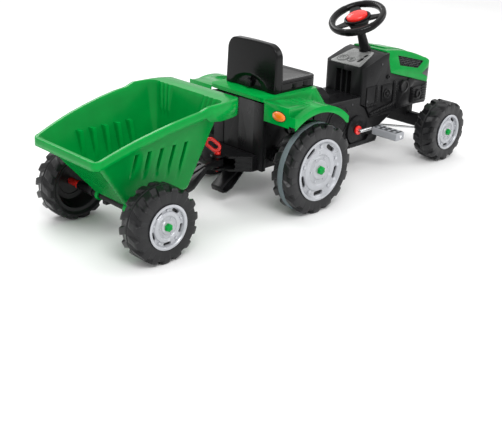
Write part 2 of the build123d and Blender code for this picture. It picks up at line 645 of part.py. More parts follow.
def deck(wall):
    """The tapering box under the seat as a full block, drawn in by the wall."""
    foot = Pos(31, 0, 258 - wall) * RectangleRounded(258 - 2 * wall, 246 - 2 * wall, 30 - wall)
    top = Pos(6, 0, DECK_Z - wall) * RectangleRounded(216 - 2 * wall, 232 - 2 * wall, 24 - wall)
    return loft([foot, top])


def arch_band(inner_radius, outer_radius, y_low, y_high):
    """A strip of the fender arch over the wheel, between the rear panel and the front tip."""
    ring = across(outer_radius, y_low, y_high, 0, REAR_TYRE_R)
    ring -= across(inner_radius, y_low - 1, y_high + 1, 0, REAR_TYRE_R)
    return ring & box_between(PANEL_X, ARCH_FRONT_X, y_low - 5, y_high + 5, 240, 400)


def shoulder_block(wall):
    """The rounded block that carries the rear panel forward into the arch on the left."""
    section = make_face(Polyline((108, 240), (200 - wall, 240), (200 - wall, 312 - wall), (108, 312 - wall),
                                 close=True))
    section = fillet(section.vertices().sort_by(Axis.X)[-2:].sort_by(Axis.Y)[-1], 12 - wall)
    run = Pos(-100, 0, 0) * extrude(Plane.YZ * section, amount=140)
    top = 312 - wall
    side = [(PANEL_X, 240), (PANEL_X, top), (-62, top), (-8, 306.5 - wall), (-8, 240)]
    return run & side_prism(side, 100, 220)


saddle = deck(0)
shoulder_outer = shoulder_block(0) - across(ARCH_R - WALL, 90, 240, 0, REAR_TYRE_R)
shoulder_inner = shoulder_block(WALL)
for side in (1, -1):
    saddle += arch_band(ARCH_R - WALL, ARCH_R, *sorted((side * 112, side * FENDER_Y)))
    saddle += arch_band(ARCH_R - 18, ARCH_R, *sorted((side * (FENDER_Y - 3), side * FENDER_Y)))
    saddle += box_between(PANEL_X - WALL, PANEL_X, *sorted((side * 104, side * 200)), 258, 312)
    saddle += box_between(PANEL_X - WALL, PANEL_X, *sorted((side * 195, side * FENDER_Y)), 264, 290)
saddle += shoulder_outer + mirrored(shoulder_outer)
saddle -= shoulder_inner + mirrored(shoulder_inner)
saddle -= box_between(-240, -20, -108, 108, 240, 308) + box_between(-60, 120, -108, 108, 240, 300)
saddle -= deck(WALL)
save("saddle_fenders", saddle)

LAMP_Y = 165.0
LAMP_Z = 283.0
lamps = []
for side in (1, -1):
    lens = scale(Sphere(1), by=(9, 24, 13.5)) & Pos(-5, 0, 0) * Box(10, 60, 60)
    lamps.append(Pos(PANEL_X - WALL, side * LAMP_Y, LAMP_Z) * lens)
save("tail_lights", *lamps)

# ---------------------------------------------------------------- seat
SEAT_FLOOR = DECK_Z + 0.4
SEAT_HALF = 97.0
SEAT_PAN_Z = 352.0
pan = box_between(-56, 125, -SEAT_HALF, SEAT_HALF, SEAT_FLOOR, SEAT_PAN_Z)
pan = fillet(pan.edges().filter_by(Axis.Z).sort_by(Axis.X)[-2:], 26)
back_outline = [(-56, SEAT_FLOOR), (-22, SEAT_FLOOR), (-22, 352), (-26, 440), (-32, 453), (-44, 453),
                (-50, 440)]
back = side_prism(back_outline, -SEAT_HALF, SEAT_HALF)
arched = extrude(Plane.YZ * Pos(0, 380) * RectangleRounded(2 * SEAT_HALF, 146, 34), amount=200, both=True)
back &= arched + box_between(-100, 0, -SEAT_HALF, SEAT_HALF, SEAT_FLOOR, 380)
seat = pan + back
hollow = box_between(-53, 121, -SEAT_HALF + WALL, SEAT_HALF - WALL, SEAT_FLOOR - 5, SEAT_PAN_Z - WALL)
hollow += side_prism([(-52, SEAT_FLOOR), (-26, SEAT_FLOOR), (-26, 352), (-30, 436), (-46, 436)], -80, 80)
seat -= hollow & box_between(-100, 100, -94, 94, 300, 460)
front_recess = side_prism([(-25, 362), (-10, 362), (-10, 440), (-28.6, 434)], -78, 78)
seat -= front_recess
knob_hole = Pos(-56, 0, 336) * Rot(0, 90, 0) * Cylinder(5 + HINGE_GAP, 20)
recess = Pos(-56, 0, 322) * Rot(0, 90, 0) * Cylinder(46, 4)
seat -= recess & box_between(-80, 0, -50, 50, 322, 400)
seat -= knob_hole
save("seat_shell", seat)

knob = Cylinder(12, 7)
for index in range(5):
    knob += Rot(0, 0, 72 * index) * Pos(10, 0, 0) * Cylinder(4, 7)
knob += Pos(0, 0, -8) * Cylinder(5, 12)
save("seat_knob", Pos(-57.7, 0, 336) * Rot(0, -90, 0) * knob)

# ---------------------------------------------------------------- hitch on the tractor
HITCH_PIN_R = 5.0
BRACKET = [(-92, -80), (-110, -80), (-160, -36), (-160, 36), (-110, 80), (-92, 80)]
BRACKET_INNER = [(-91, -76), (-108, -76), (-170, -31), (-170, 31), (-108, 76), (-91, 76)]
bracket = plan_prism(BRACKET, 104, 148) - plan_prism(BRACKET_INNER, 110, 142)
for low, high in ((104, 110), (142, 148)):
    bracket += upright(19, low, high, HITCH_X, 0) + box_between(HITCH_X, -150, -19, 19, low, high)
bracket -= upright(HITCH_PIN_R + HINGE_GAP, 90, 160, HITCH_X, 0)
save("hitch_bracket", bracket)

foot_outline = [(-92, 104), (-140, 74), (-172, 52), (-168, 36), (-150, 34), (-128, 42), (-72, 93), (-92, 93)]
skid = side_prism(foot_outline, -22, 22)
skid = fillet(skid.edges().filter_by(Axis.Y).sort_by(Axis.X)[:4], 5)
skid -= side_prism(foot_outline, 10, 40, 5) + side_prism(foot_outline, -40, -10, 5)
save("anti_tip_foot", skid)

PIN_TOP_Z = 156.0
pin = upright(HITCH_PIN_R, 98, PIN_TOP_Z, HITCH_X, 0) + upright(9, 148.4, PIN_TOP_Z, HITCH_X, 0)
loop_plane = Plane(origin=(HITCH_X - 9, 9, 175), x_dir=(-0.55, 0.55, 0.63), z_dir=(0.707, 0.707, 0))
loop = extrude(SlotOverall(50, 31), amount=4.5, both=True) - extrude(SlotOverall(32, 13), amount=9, both=True)
loop = fillet(loop.edges(), 2.5)
pin += loop_plane * loop
save("hitch_pin", pin)

# ---------------------------------------------------------------- trailer frame
TRAILER_AXLE_Z = TRAILER_TYRE_R
FRAME_LOW = 76.0
FRAME_HIGH = 103.0
EYE_LOW = 116.0
EYE_HIGH = 136.0
axle_x = TRAILER_AXLE_X
AXLE_TUBE_R = 12.5
AXLE_TUBE_END = 150.0
drawbar_side = [(-350, FRAME_LOW), (-350, FRAME_HIGH), (-320, 106), (-225, EYE_HIGH),
                (HITCH_X, EYE_HIGH), (HITCH_X, EYE_LOW), (-222, EYE_LOW), (-300, 84)]
drawbar_plan = [(-351, -50), (-351, 50), (-290, 44), (-215, 17),
                (HITCH_X, 17), (HITCH_X, -17), (-215, -17), (-290, -44)]
channel_side = [(-345, FRAME_HIGH - 3), (-320, 103), (-232, 131), (-232, 150), (-345, 150)]
drawbar = side_prism(drawbar_side, -60, 60) & plan_prism(drawbar_plan, 60, 150)
for channel_y in (-22, 0, 22):
    drawbar -= side_prism(channel_side, channel_y - 5, channel_y + 5)
trailer_frame = drawbar + upright(17, EYE_LOW, EYE_HIGH, HITCH_X, 0)
for side in (1, -1):
    trailer_frame += box_between(axle_x, -345, *sorted((side * 34, side * 50)), FRAME_LOW, FRAME_HIGH)
    tube_run = sorted((side * 84, side * AXLE_TUBE_END))
    trailer_frame += across(AXLE_TUBE_R, *tube_run, axle_x, TRAILER_AXLE_Z)
trailer_frame += box_between(-512, -488, -96, 96, FRAME_LOW, 100)
trailer_frame += box_between(-372, -348, -50, 50, FRAME_LOW, FRAME_HIGH)
trailer_frame += across(9, -122, 122, axle_x, TRAILER_AXLE_Z)
for side in (1, -1):
    trailer_frame += box_between(axle_x, -500, *sorted((side * 84, side * 96)), FRAME_LOW + 9, 104)
trailer_frame -= across(STUB_AXLE_R, -200, 200, axle_x, TRAILER_AXLE_Z)
trailer_frame -= upright(HITCH_PIN_R + HINGE_GAP, 90, 160, HITCH_X, 0)
save("trailer_frame", trailer_frame)

trailer_axle_end = TRAILER_RIM_Y + 0.5
save("trailer_axle", across(STUB_AXLE_R, -trailer_axle_end, trailer_axle_end, axle_x, TRAILER_AXLE_Z))
SPACER_START_Y = AXLE_TUBE_END + 0.5
SPACER_END_Y = 195.5
spacers = []
for side in (1, -1):
    spacer = across(10, SPACER_START_Y, SPACER_END_Y) + across(12, SPACER_START_Y, SPACER_START_Y + 6)
    spacer -= across(STUB_RUN, SPACER_START_Y - 5, SPACER_END_Y + 5)
    placed = Pos(axle_x, 0, TRAILER_AXLE_Z) * spacer
    spacers.append(placed if side > 0 else mirrored(placed))
save("trailer_spacers", *spacers)

# ---------------------------------------------------------------- trailer tub
TUB_FLOOR_Z = 107.5
TUB_TOP_Z = 356.0
TUB_FLOOR_REAR_X = -533.0
LIP_GROW = 7.0
LIP_REAR_Z = 266.0
rear_overhang = TUB_FLOOR_REAR_X - LIP_GROW - TUB_REAR_X
REAR_SLOPE = rear_overhang * (TUB_TOP_Z - TUB_FLOOR_Z) / (LIP_REAR_Z - TUB_FLOOR_Z)
RIM_LINE = [(TUB_REAR_X, LIP_REAR_Z), (-560, 302), (-455, 328), (-366, 341), (-341, 353), (-222, 350)]


def hopper(grow, z_low=TUB_FLOOR_Z, z_high=TUB_TOP_Z):
    """The tub's sloping outer form as a full block; grow moves every wall outward."""
    def section(z):
        share = (z - TUB_FLOOR_Z) / (TUB_TOP_Z - TUB_FLOOR_Z)
        front = -333 + 54 * share + grow
        rear = TUB_FLOOR_REAR_X - REAR_SLOPE * share - grow
        front_half = 64 + 83 * share + grow
        middle_half = 66 + 88 * share + grow
        rear_half = 67 + 90 * share + grow
        outline = [(front, -front_half), (-405, -middle_half), (rear, -rear_half),
                   (rear, rear_half), (-405, middle_half), (front, front_half)]
        return Pos(0, 0, z) * make_face(Polyline(*outline, close=True))
    return loft([section(z_low), section(z_high)])


def below_rim(drop, rear_x=-800, front_x=0):
    """Everything lower than the rim line, less drop."""
    start, *middle, end = [(x, z - drop) for x, z in RIM_LINE]
    curve = Spline(start, *middle[:3])
    straight = Polyline(middle[2], middle[3], end)
    rest = Polyline(end, (front_x, end[1]), (front_x, 0), (rear_x, 0), (rear_x, start[1]), start)
    return curve_prism([curve, straight, rest], -300, 300)


inside = hopper(-WALL, TUB_FLOOR_Z + WALL, 380)
shell = hopper(0) & below_rim(0)
lip_band = (hopper(LIP_GROW) & below_rim(0)) - below_rim(23)
flange = plan_prism([(-310, -150), (-224, -139), (-224, 139), (-310, 150)], 304, 400) & below_rim(0)
flange_void = plan_prism([(-312, -147), (-227, -136), (-227, 136), (-312, 147)], 300, 400) & below_rim(WALL)
tub = shell + lip_band + (flange - flange_void)
GROOVE_COUNT = 5
GROOVE_PITCH = 39.0
GROOVE_REAR_X = -544.0
GROOVE_TOP_Z = 263.0
GROOVE_DEPTH = 17.0


def wall_y(groove_x, z):
    """The left wall's outer face at a groove; the wall draws in a little towards the middle corner."""
    share = (z - TUB_FLOOR_Z) / (TUB_TOP_Z - TUB_FLOOR_Z)
    forward = max(0.0, min(1.0, (groove_x - TUB_FLOOR_REAR_X) / 128))
    return 67 + 90 * share - (1 + 2 * share) * forward


ribs = []
cuts = []
for index in range(GROOVE_COUNT):
    groove_x = GROOVE_REAR_X + GROOVE_PITCH * index
    groove_low = 204 - 10 * index
    top_y = wall_y(groove_x, GROOVE_TOP_Z)
    low_y = wall_y(groove_x, groove_low)
    wedge = [(top_y + 1, GROOVE_TOP_Z), (top_y - GROOVE_DEPTH, GROOVE_TOP_Z), (low_y + 1, groove_low)]
    jacket = [(top_y - 1, GROOVE_TOP_Z + WALL), (top_y - GROOVE_DEPTH - WALL, GROOVE_TOP_Z + WALL),
              (low_y - 2, groove_low - 6)]
    for outline, width, group in ((wedge, 15, cuts), (jacket, 21, ribs)):
        prism = extrude(Plane.YZ * make_face(Polyline(*outline, close=True)), amount=width / 2, both=True)
        prism = Pos(groove_x, 0, 0) * prism
        group.append(prism)
        group.append(mirrored(prism))
tub -= inside
for rib in ribs:
    tub += rib
for cut in cuts:
    tub -= cut
LUG_R = 14.0
for side in (1, -1):
    low, high = sorted((side * 54, side * 66))
    lug = across(LUG_R, low, high, axle_x, TRAILER_AXLE_Z)
    tub += lug - box_between(-600, -400, -200, 200, TUB_FLOOR_Z + 1, 140)
    tub -= across(9.3, low - 1, high + 1, axle_x, TRAILER_AXLE_Z)
save("trailer_tub", tub)

# ---------------------------------------------------------------- fasteners
SCREWS = [(448, 331, COVER_HALF), (384, 222, COVER_HALF + 3), (200, 110, BODY_HALF), (180, 228, BODY_HALF),
          (320, 222, BODY_HALF)]
heads = []
for side in (1, -1):
    for screw_x, screw_z, face in SCREWS:
        heads.append(outward(side, screw_x, face + 0.75, screw_z) * Cylinder(3.5, 1.5))
save("body_screws", *heads)
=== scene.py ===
import bpy
import bmesh
import json
import math
from mathutils import Matrix, Vector


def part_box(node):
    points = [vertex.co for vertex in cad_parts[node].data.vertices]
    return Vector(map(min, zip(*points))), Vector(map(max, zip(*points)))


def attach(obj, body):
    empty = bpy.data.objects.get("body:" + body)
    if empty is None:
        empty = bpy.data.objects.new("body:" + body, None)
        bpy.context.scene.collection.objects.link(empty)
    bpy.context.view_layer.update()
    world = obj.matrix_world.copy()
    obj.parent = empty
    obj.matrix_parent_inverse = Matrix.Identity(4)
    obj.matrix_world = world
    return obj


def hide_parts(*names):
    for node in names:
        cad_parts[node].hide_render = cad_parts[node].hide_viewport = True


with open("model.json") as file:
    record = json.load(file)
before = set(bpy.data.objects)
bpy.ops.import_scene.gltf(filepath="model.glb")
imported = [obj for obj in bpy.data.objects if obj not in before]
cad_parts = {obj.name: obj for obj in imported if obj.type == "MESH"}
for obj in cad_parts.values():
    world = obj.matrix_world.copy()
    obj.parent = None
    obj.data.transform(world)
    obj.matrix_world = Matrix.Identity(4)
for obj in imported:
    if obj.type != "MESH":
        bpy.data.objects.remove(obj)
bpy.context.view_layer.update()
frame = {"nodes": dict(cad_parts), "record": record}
NODES = frame["nodes"]
SCENE = bpy.context.scene

# Shapes below are drawn in millimetres from the tractor's own origin: the ground under the
# middle of the rear axle, +X forward, +Y left and +Z up. frame_point() puts them in the frame.
MM = 0.001
SIDES = {"left": 1, "right": -1}


def middle(node):
    """The centre of a node's box in the frame."""
    low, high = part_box(node)
    return (low + high) / 2


REAR_AXLE = middle("rear_axle_rod")
REAR_R = REAR_AXLE.z / MM
FRONT_X = (middle("front_cap_left").x - REAR_AXLE.x) / MM
TRAILER_AXLE_X = (middle("trailer_axle").x - REAR_AXLE.x) / MM
SMALL_R = middle("trailer_axle").z / MM


def frame_point(point):
    """A point in the tractor's millimetres as a place in the frame."""
    return Vector((point[0] * MM + REAR_AXLE.x, point[1] * MM, point[2] * MM))


def outer_face(node, side):
    """How far out from the middle plane a node reaches on one side."""
    low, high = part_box(node)
    return (high.y if side > 0 else -low.y) / MM


def smooth_step(value):
    """0 below 0, 1 above 1 and an even curve between."""
    share = max(0.0, min(1.0, value))
    return share * share * (3 - 2 * share)


def turned(x, y, turn):
    """The point (x, y) turned about the origin."""
    return x * math.cos(turn) - y * math.sin(turn), x * math.sin(turn) + y * math.cos(turn)


# ---- materials
# Curvature at which the painted edge highlight starts, and at which it is full; 0.5 is flat.
EDGE_HIGHLIGHT_CURVATURE = (0.504, 0.548)
# How far the body colour, the painted highlight colour on the edges and the gloss wander, as shares of the
# base values.
BODY_SHADES = (0.9, 1.08)
EDGE_HIGHLIGHT_TINTS = (1.15, 1.4)
GLOSS_SHADES = (0.87, 1.16)
GRAIN_DEPTH = 0.0002
FLOW_DEPTH = 0.004


class Paint:
    """Builds one node material around a Principled shader."""

    def __init__(self, name, base, roughness, metallic=0.0, specular=0.5, coat=0.0, coat_roughness=0.06):
        self.material = bpy.data.materials.new(name)
        self.material.use_nodes = True
        self.nodes = self.material.node_tree.nodes
        self.links = self.material.node_tree.links
        self.shader = self.nodes["Principled BSDF"]
        self.set("Base Color", (*base, 1))
        self.set("Roughness", roughness)
        self.set("Metallic", metallic)
        self.set("Specular IOR Level", specular)
        self.set("Coat Weight", coat)
        self.set("Coat Roughness", coat_roughness)
        self.place = self.nodes.new("ShaderNodeTexCoord").outputs["Object"]
        self.normal = None

    def set(self, socket, value):
        self.shader.inputs[socket].default_value = value

    def noise(self, scale, detail=4.0, rough=0.55):
        texture = self.nodes.new("ShaderNodeTexNoise")
        texture.inputs["Scale"].default_value = scale
        texture.inputs["Detail"].default_value = detail
        texture.inputs["Roughness"].default_value = rough
        self.links.new(self.place, texture.inputs["Vector"])
        return texture.outputs["Fac"]

    def ramp(self, value, low, high, start=0.3, end=0.7):
        """Turn a 0 to 1 value into a colour between low and high."""
        ramp = self.nodes.new("ShaderNodeValToRGB")
        for element, position, colour in zip(ramp.color_ramp.elements, (start, end), (low, high)):
            element.position = position
            element.color = (*colour, 1)
        self.links.new(value, ramp.inputs["Fac"])
        return ramp.outputs["Color"]

    def spread(self, value, low, high, start=0.3, end=0.7):
        """Turn a 0 to 1 value into a number between low and high."""
        spread = self.nodes.new("ShaderNodeMapRange")
        for socket, number in (("From Min", start), ("From Max", end), ("To Min", low), ("To Max", high)):
            spread.inputs[socket].default_value = number
        self.links.new(value, spread.inputs["Value"])
        return spread.outputs["Result"]

    def mix(self, share, first, second):
        """Blend two colour outputs by a 0 to 1 value."""
        mix = self.nodes.new("ShaderNodeMix")
        mix.data_type = "RGBA"
        self.links.new(share, mix.inputs["Factor"])
        self.links.new(first, mix.inputs["A"])
        self.links.new(second, mix.inputs["B"])
        return mix.outputs["Result"]

    def edge_highlight_mask(self):
        """1 along convex edges and 0 on flat faces, from the surface's own curvature: the mask for the
        painted edge highlight.
        """
        geometry = self.nodes.new("ShaderNodeNewGeometry")
        return self.spread(geometry.outputs["Pointiness"], 0, 1, *EDGE_HIGHLIGHT_CURVATURE)

    def colour(self, output):
        self.links.new(output, self.shader.inputs["Base Color"])

    def roughness(self, output):
        self.links.new(output, self.shader.inputs["Roughness"])

    def bump(self, height, strength, distance):
        """Add a relief on top of the ones already there."""
        node = self.nodes.new("ShaderNodeBump")
        node.inputs["Strength"].default_value = strength
        node.inputs["Distance"].default_value = distance
        self.links.new(height, node.inputs["Height"])
        if self.normal:
            self.links.new(self.normal, node.inputs["Normal"])
        self.normal = node.outputs["Normal"]
        self.links.new(self.normal, self.shader.inputs["Normal"])


def tint(colour, share):
    """A colour made darker or paler."""
    return tuple(min(1.0, c * share) for c in colour)


def moulded(name, base, roughness, grain, grain_scale=900.0, flow=0.05, **extra):
    """Injection-moulded plastic: faint flow marks, uneven gloss, a painted highlight that makes convex edges
    paler, and a fine skin.
    """
    paint = Paint(name, base, roughness, **extra)
    body = paint.ramp(paint.noise(14, 3), *(tint(base, share) for share in BODY_SHADES))
    # Painted highlight: the edge colour is paler than the body and is laid along convex edges.
    edges = paint.ramp(paint.noise(40, 3), *(tint(base, share) for share in EDGE_HIGHLIGHT_TINTS))
    paint.colour(paint.mix(paint.edge_highlight_mask(), body, edges))
    gloss = (roughness * share for share in GLOSS_SHADES)
    paint.roughness(paint.spread(paint.noise(32, 5, 0.65), *gloss))
    paint.bump(paint.noise(grain_scale, 3), grain, GRAIN_DEPTH)
    paint.bump(paint.noise(9, 2), flow, FLOW_DEPTH)
    return paint.material


GREEN = (0.0, 0.235, 0.036)
BLACK = (0.006, 0.006, 0.0066)
MATERIALS = {
    "green": moulded("green_gloss_plastic", GREEN, 0.17, 0.04, specular=0.13),
    "black": moulded("black_satin_plastic", BLACK, 0.3, 0.1, flow=0.012, specular=0.18),
    "seat": moulded("black_gloss_plastic", tint(BLACK, 0.5), 0.17, 0.06, flow=0.02, specular=0.2),
    "tyre": moulded("tyre_plastic", tint(BLACK, 1.5), 0.33, 0.2, grain_scale=700.0, specular=0.3),
    "silver": moulded("silver_plastic", (0.4, 0.41, 0.435), 0.3, 0.06, metallic=0.35),
    "red": moulded("red_gloss_plastic", (0.86, 0.02, 0.014), 0.24, 0.04, coat=0.25),
    "band": moulded("grey_rubber_band", (0.1, 0.125, 0.135), 0.62, 1.0, grain_scale=420.0, specular=0.3),
    "pedal": moulded("grey_pedal_plastic", (0.29, 0.3, 0.32), 0.42, 0.25),
    "amber": moulded("amber_lens", (0.8, 0.19, 0.008), 0.16, 0.02, coat=0.4),
    "headlamp": moulded("smoked_lens", (0.012, 0.013, 0.016), 0.12, 0.02, coat=0.5),
    "grille": moulded("grille_plastic", (0.03, 0.032, 0.033), 0.4, 0.1),
    "dash": moulded("dash_panel", (0.25, 0.255, 0.25), 0.28, 0.05, metallic=0.3),
    # Painted shade: a dark colour for the plates that stand in for the shadows between the pedal bars.
    "bar_shade": moulded("pedal_tread_rubber", (0.05, 0.052, 0.056), 0.6, 0.4, grain_scale=700.0, specular=0.25),
    "screw": moulded("dark_screw_steel", (0.06, 0.06, 0.064), 0.35, 0.1, metallic=0.8),
    "steel": moulded("zinc_steel", (0.6, 0.61, 0.62), 0.26, 0.08, metallic=1.0),
}
SLOT_PAINT = {
    "green_plastic": "green", "black_plastic": "black", "seat_plastic": "seat", "tyre_plastic": "tyre",
    "silver_plastic": "silver", "red_plastic": "red", "band_rubber": "band", "pedal_plastic": "pedal",
    "lamp_plastic": "amber", "headlamp_plastic": "headlamp", "grille_plastic": "grille",
    "dash_plastic": "dash", "steel": "steel", "spring_steel": "steel",
}
NODE_SLOT = {part["node"]: part["material_slot"] for part in frame["record"]["subparts"]}
# The radius given to a node's edges in millimetres, where it isn't the usual one.
EDGE_ROUND = {"hood": 2.0, "trailer_frame": 1.6, "front_axle_beam": 2.0, "hitch_pin": 0.8}
USUAL_ROUND = 1.1
ROUNDED_TURN = math.radians(30)
FLAT_TURN = math.radians(0.1)
WELD_DISTANCE = 0.00001
MERGE_DISTANCE = 0.000005


def round_edges(obj, width, segments):
    """Round every edge that turns by more than thirty degrees."""
    bevel = obj.modifiers.new("soft_edges", "BEVEL")
    bevel.width = width * MM
    bevel.segments = segments
    bevel.limit_method = "ANGLE"
    bevel.angle_limit = ROUNDED_TURN
    bevel.harden_normals = True


def shade_smooth(obj):
    for polygon in obj.data.polygons:
        polygon.use_smooth = True


def dress_nodes():
    """Give every CAD node its material, soft edges and smooth shading."""
    for name, node in NODES.items():
        node.data.materials.clear()
        paint = "screw" if name == "body_screws" else SLOT_PAINT[NODE_SLOT[name]]
        node.data.materials.append(MATERIALS[paint])
        shade_smooth(node)
        weld = node.modifiers.new("welded", "WELD")
        weld.merge_threshold = WELD_DISTANCE
        flat = node.modifiers.new("flat_faces", "DECIMATE")
        flat.decimate_type = "DISSOLVE"
        flat.angle_limit = FLAT_TURN
        round_edges(node, EDGE_ROUND.get(name, USUAL_ROUND), 2)


# ---- mesh helpers
def new_object(name, points, faces):
    """A mesh object from millimetre points in the tractor's axes."""
    mesh = bpy.data.meshes.new(name)
    mesh.from_pydata([frame_point(p) for p in points], [], faces)
    mesh.validate()
    obj = bpy.data.objects.new(name, mesh)
    SCENE.collection.objects.link(obj)
    fix = bmesh.new()
    fix.from_mesh(mesh)
    bmesh.ops.remove_doubles(fix, verts=fix.verts, dist=MERGE_DISTANCE)
    bmesh.ops.recalc_face_normals(fix, faces=fix.faces)
    fix.to_mesh(mesh)
    fix.free()
    return obj


def finish_piece(obj, paint, body, replaced=(), bevel=0.0, sharp=40.0):
    """Material, edge rounding or crisp lines, shading, and the body that the piece rides on."""
    obj.data.materials.append(MATERIALS[paint])
    shade_smooth(obj)
    if bevel:
        round_edges(obj, bevel, 3)
    else:
        mark_sharp(obj.data, sharp)
    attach(obj, body)
    if replaced:
        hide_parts(*replaced)


def mark_sharp(mesh, angle):
    """Keep a crisp shading line where two faces meet at more than the angle, in degrees."""
    work = bmesh.new()
    work.from_mesh(mesh)
    limit = math.radians(angle)
    for edge in work.edges:
        if len(edge.link_faces) == 2:
            edge.smooth = edge.calc_face_angle(0) < limit
    work.to_mesh(mesh)
    work.free()


def ring_faces(rows, columns, closed_rows=False):
    """Quads over a grid of rows by columns whose columns go all the way round."""
    faces = []
    last = rows if closed_rows else rows - 1
    for row in range(last):
        below = row * columns
        above = (row + 1) % rows * columns
        for column in range(columns):
            after = (column + 1) % columns
            faces.append((below + column, below + after, above + after, above + column))
    return faces


def looped(rings):
    """Rings joined one to the next and the last to the first, as points and faces."""
    points = [point for ring in rings for point in ring]
    return points, ring_faces(len(rings), len(rings[0]), closed_rows=True)


def capped(rings):
    """Rings joined one to the next, with the first and last filled in, as points and faces."""
    count = len(rings[0])
    points = [point for ring in rings for point in ring]
    faces = ring_faces(len(rings), count)
    faces.append(tuple(range(count)))
    faces.append(tuple(range(len(points) - count, len(points))))
    return points, faces


def joined(parts):
    """Several point-and-face pairs as one."""
    points = []
    faces = []
    for more, quads in parts:
        faces += [tuple(i + len(points) for i in quad) for quad in quads]
        points += more
    return points, faces


# ---- wheels
LUGS = 15
# How far a lug trails from the tread's middle to its shoulder, in lug pitches.
SWEEP = 0.4
BAND_HALF = 9.0
# Radii, depths and lug height of each kind of tyre, in millimetres.
REAR_TYRE = {"opening": 104, "rim_radius": 86, "bore": 6.1, "inner_depth": 26, "depth": 9.0, "band": True}
SMALL_TYRE = {"opening": 84, "rim_radius": 56, "bore": 5.1, "inner_depth": 50, "depth": 8.0, "band": False}


def lug_columns(spread):
    """One pitch of the tread: (place within the pitch, lug height share); spread widens the lug."""
    top = 0.2 + 0.02 * spread
    wall = 0.1
    foot = top + wall
    gap = 0.5 - foot
    half = [(foot + gap * 0.5, 0.0), (foot, 0.0), (foot - wall * 0.3, 0.16), (top + wall * 0.25, 0.86),
            (top, 1.0), (top * 0.5, 1.0)]
    left = [(0.5 - offset, height) for offset, height in half]
    right = [(0.5 + offset, height) for offset, height in reversed(half)]
    return [(0.0, 0.0), *left, (0.5, 1.0), *right]


def tread_rows(radius, width, opening, rim_radius, bore, inner_depth, depth, band):
    """The tyre's section from the inner bore to the outer one: (out, lug top radius, groove radius)."""
    centre = width / 2
    low = radius - depth
    plain = [(inner_depth, bore), (inner_depth, 26), (inner_depth - 1.5, opening * 0.42),
             (inner_depth - 4, opening * 0.44), (inner_depth - 5, opening * 0.6),
             (9.5, opening * 0.78), (7, opening * 0.86), (7, opening * 0.9), (1.5, opening * 0.97),
             (0.4, opening), (0.2, low - 4)]
    rows = [(out, reach, reach) for out, reach in plain]
    half = [(1.6, radius - 4.2, low - 3.2), (4.5, radius - 1.4, low - 1.6), (9, radius, low)]
    inner_edge = BAND_HALF + 1 if band else 3.5
    half += [(9 + (centre - inner_edge - 9) * step / 5, radius, low) for step in range(1, 6)]
    if band:
        half += [(centre - BAND_HALF - 0.3, radius - 0.6, low), (centre - BAND_HALF, radius - 2.7, low - 1)]
    else:
        half += [(centre - 2.2, radius - 0.8, low + depth * 0.5), (centre - 1.4, radius - 0.8, radius - 0.8)]
    rows += half
    rows += [(width - out - (1.0 if out < 2 else 0), top, groove) for out, top, groove in reversed(half)]
    face = width - 1
    dish = width - 12
    plain = [(face, low - 4), (face, rim_radius + 3), (face - 2, rim_radius - 0.5), (dish, rim_radius - 6),
             (dish, bore)]
    return rows + [(out, reach, reach) for out, reach in plain]


def build_tyre(node, body, side, x, radius, lead, sizes):
    """A blow-moulded tyre with chevron lugs; lead is +1 where the chevrons point the way it rolls."""
    face = outer_face(node, side)
    low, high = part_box(node)
    width = face - min(abs(low.y), abs(high.y)) / MM
    rows = tread_rows(radius, width, **sizes)
    centre = width / 2
    points = []
    for out, top, groove in rows:
        share = min(1.0, abs(out - centre) / (centre - 4))
        if top > groove:
            groove = top - (top - groove) * max(0.0, min(1.0, (share - 0.12) / 0.55))
        offset = 0.5 if out > centre else 0.0
        for lug in range(LUGS):
            for place, height in lug_columns(share):
                reach = groove + (top - groove) * height
                turn = (lug + place + offset - lead * SWEEP * share) * math.tau / LUGS
                points.append((x + reach * math.sin(turn), side * (face - width + out),
                               radius + reach * math.cos(turn)))
    columns = LUGS * len(lug_columns(0))
    obj = new_object(node + "_lugged", points, ring_faces(len(rows), columns, closed_rows=True))
    finish_piece(obj, "tyre", body, (node,), sharp=34)


def build_tyres():
    for name, side in SIDES.items():
        build_tyre(f"rear_tyre_{name}", "rear_axle", side, 0, REAR_R, 1, REAR_TYRE)
        build_tyre(f"front_tyre_{name}", f"front_wheel_{name}", side, FRONT_X, SMALL_R, -1, SMALL_TYRE)
        build_tyre(f"trailer_tyre_{name}", f"trailer_wheel_{name}", side, TRAILER_AXLE_X, SMALL_R, 1,
                   SMALL_TYRE)


CAP_LOBES = 6
LOBE_SWELL = 0.11
CAP_INSET = 5.5


def cap_points(x, side, face, z, reach, rise):
    """A domed, lobed hub cap as a ring grid from its foot to its crown."""
    rows = [(1.0, -4), (1.0, rise * 0.45), (0.97, rise * 0.72), (0.86, rise * 0.9), (0.62, rise),
            (0.3, rise * 1.02), (0.02, rise * 1.02)]
    columns = CAP_LOBES * 8
    points = []
    for share, out in rows:
        for column in range(columns):
            turn = math.tau * column / columns
            lobe = 1 + LOBE_SWELL * math.cos(CAP_LOBES * turn) * min(1.0, share * 1.2)
            points.append((x + reach * share * lobe * math.sin(turn), side * (face + out),
                           z + reach * share * lobe * math.cos(turn)))
    return points, ring_faces(len(rows), columns)


def build_caps():
    """Green lobed hub caps over every axle end."""
    pair = [cap_points(0, side, outer_face(f"rear_rim_{name}", side) - CAP_INSET, REAR_R, 11.0, 10.5)
            for name, side in SIDES.items()]
    rear = new_object("rear_lobed_caps", *joined(pair))
    finish_piece(rear, "green", "rear_axle", ("rear_hub_caps",), sharp=50)
    for axle, x in (("front", FRONT_X), ("trailer", TRAILER_AXLE_X)):
        for name, side in SIDES.items():
            face = outer_face(f"{axle}_rim_{name}", side) - CAP_INSET
            cap = new_object(f"{axle}_lobed_cap_{name}", *cap_points(x, side, face, SMALL_R, 9.6, 9.5))
            finish_piece(cap, "green", f"{axle}_wheel_{name}", (f"{axle}_cap_{name}",),
                         sharp=50)


# ---- trailer tub
TUB_FLOOR_Z = 107.5
TUB_TOP_Z = 356.0
TUB_REAR_X = -667.0
TUB_MIDDLE_X = -405.0
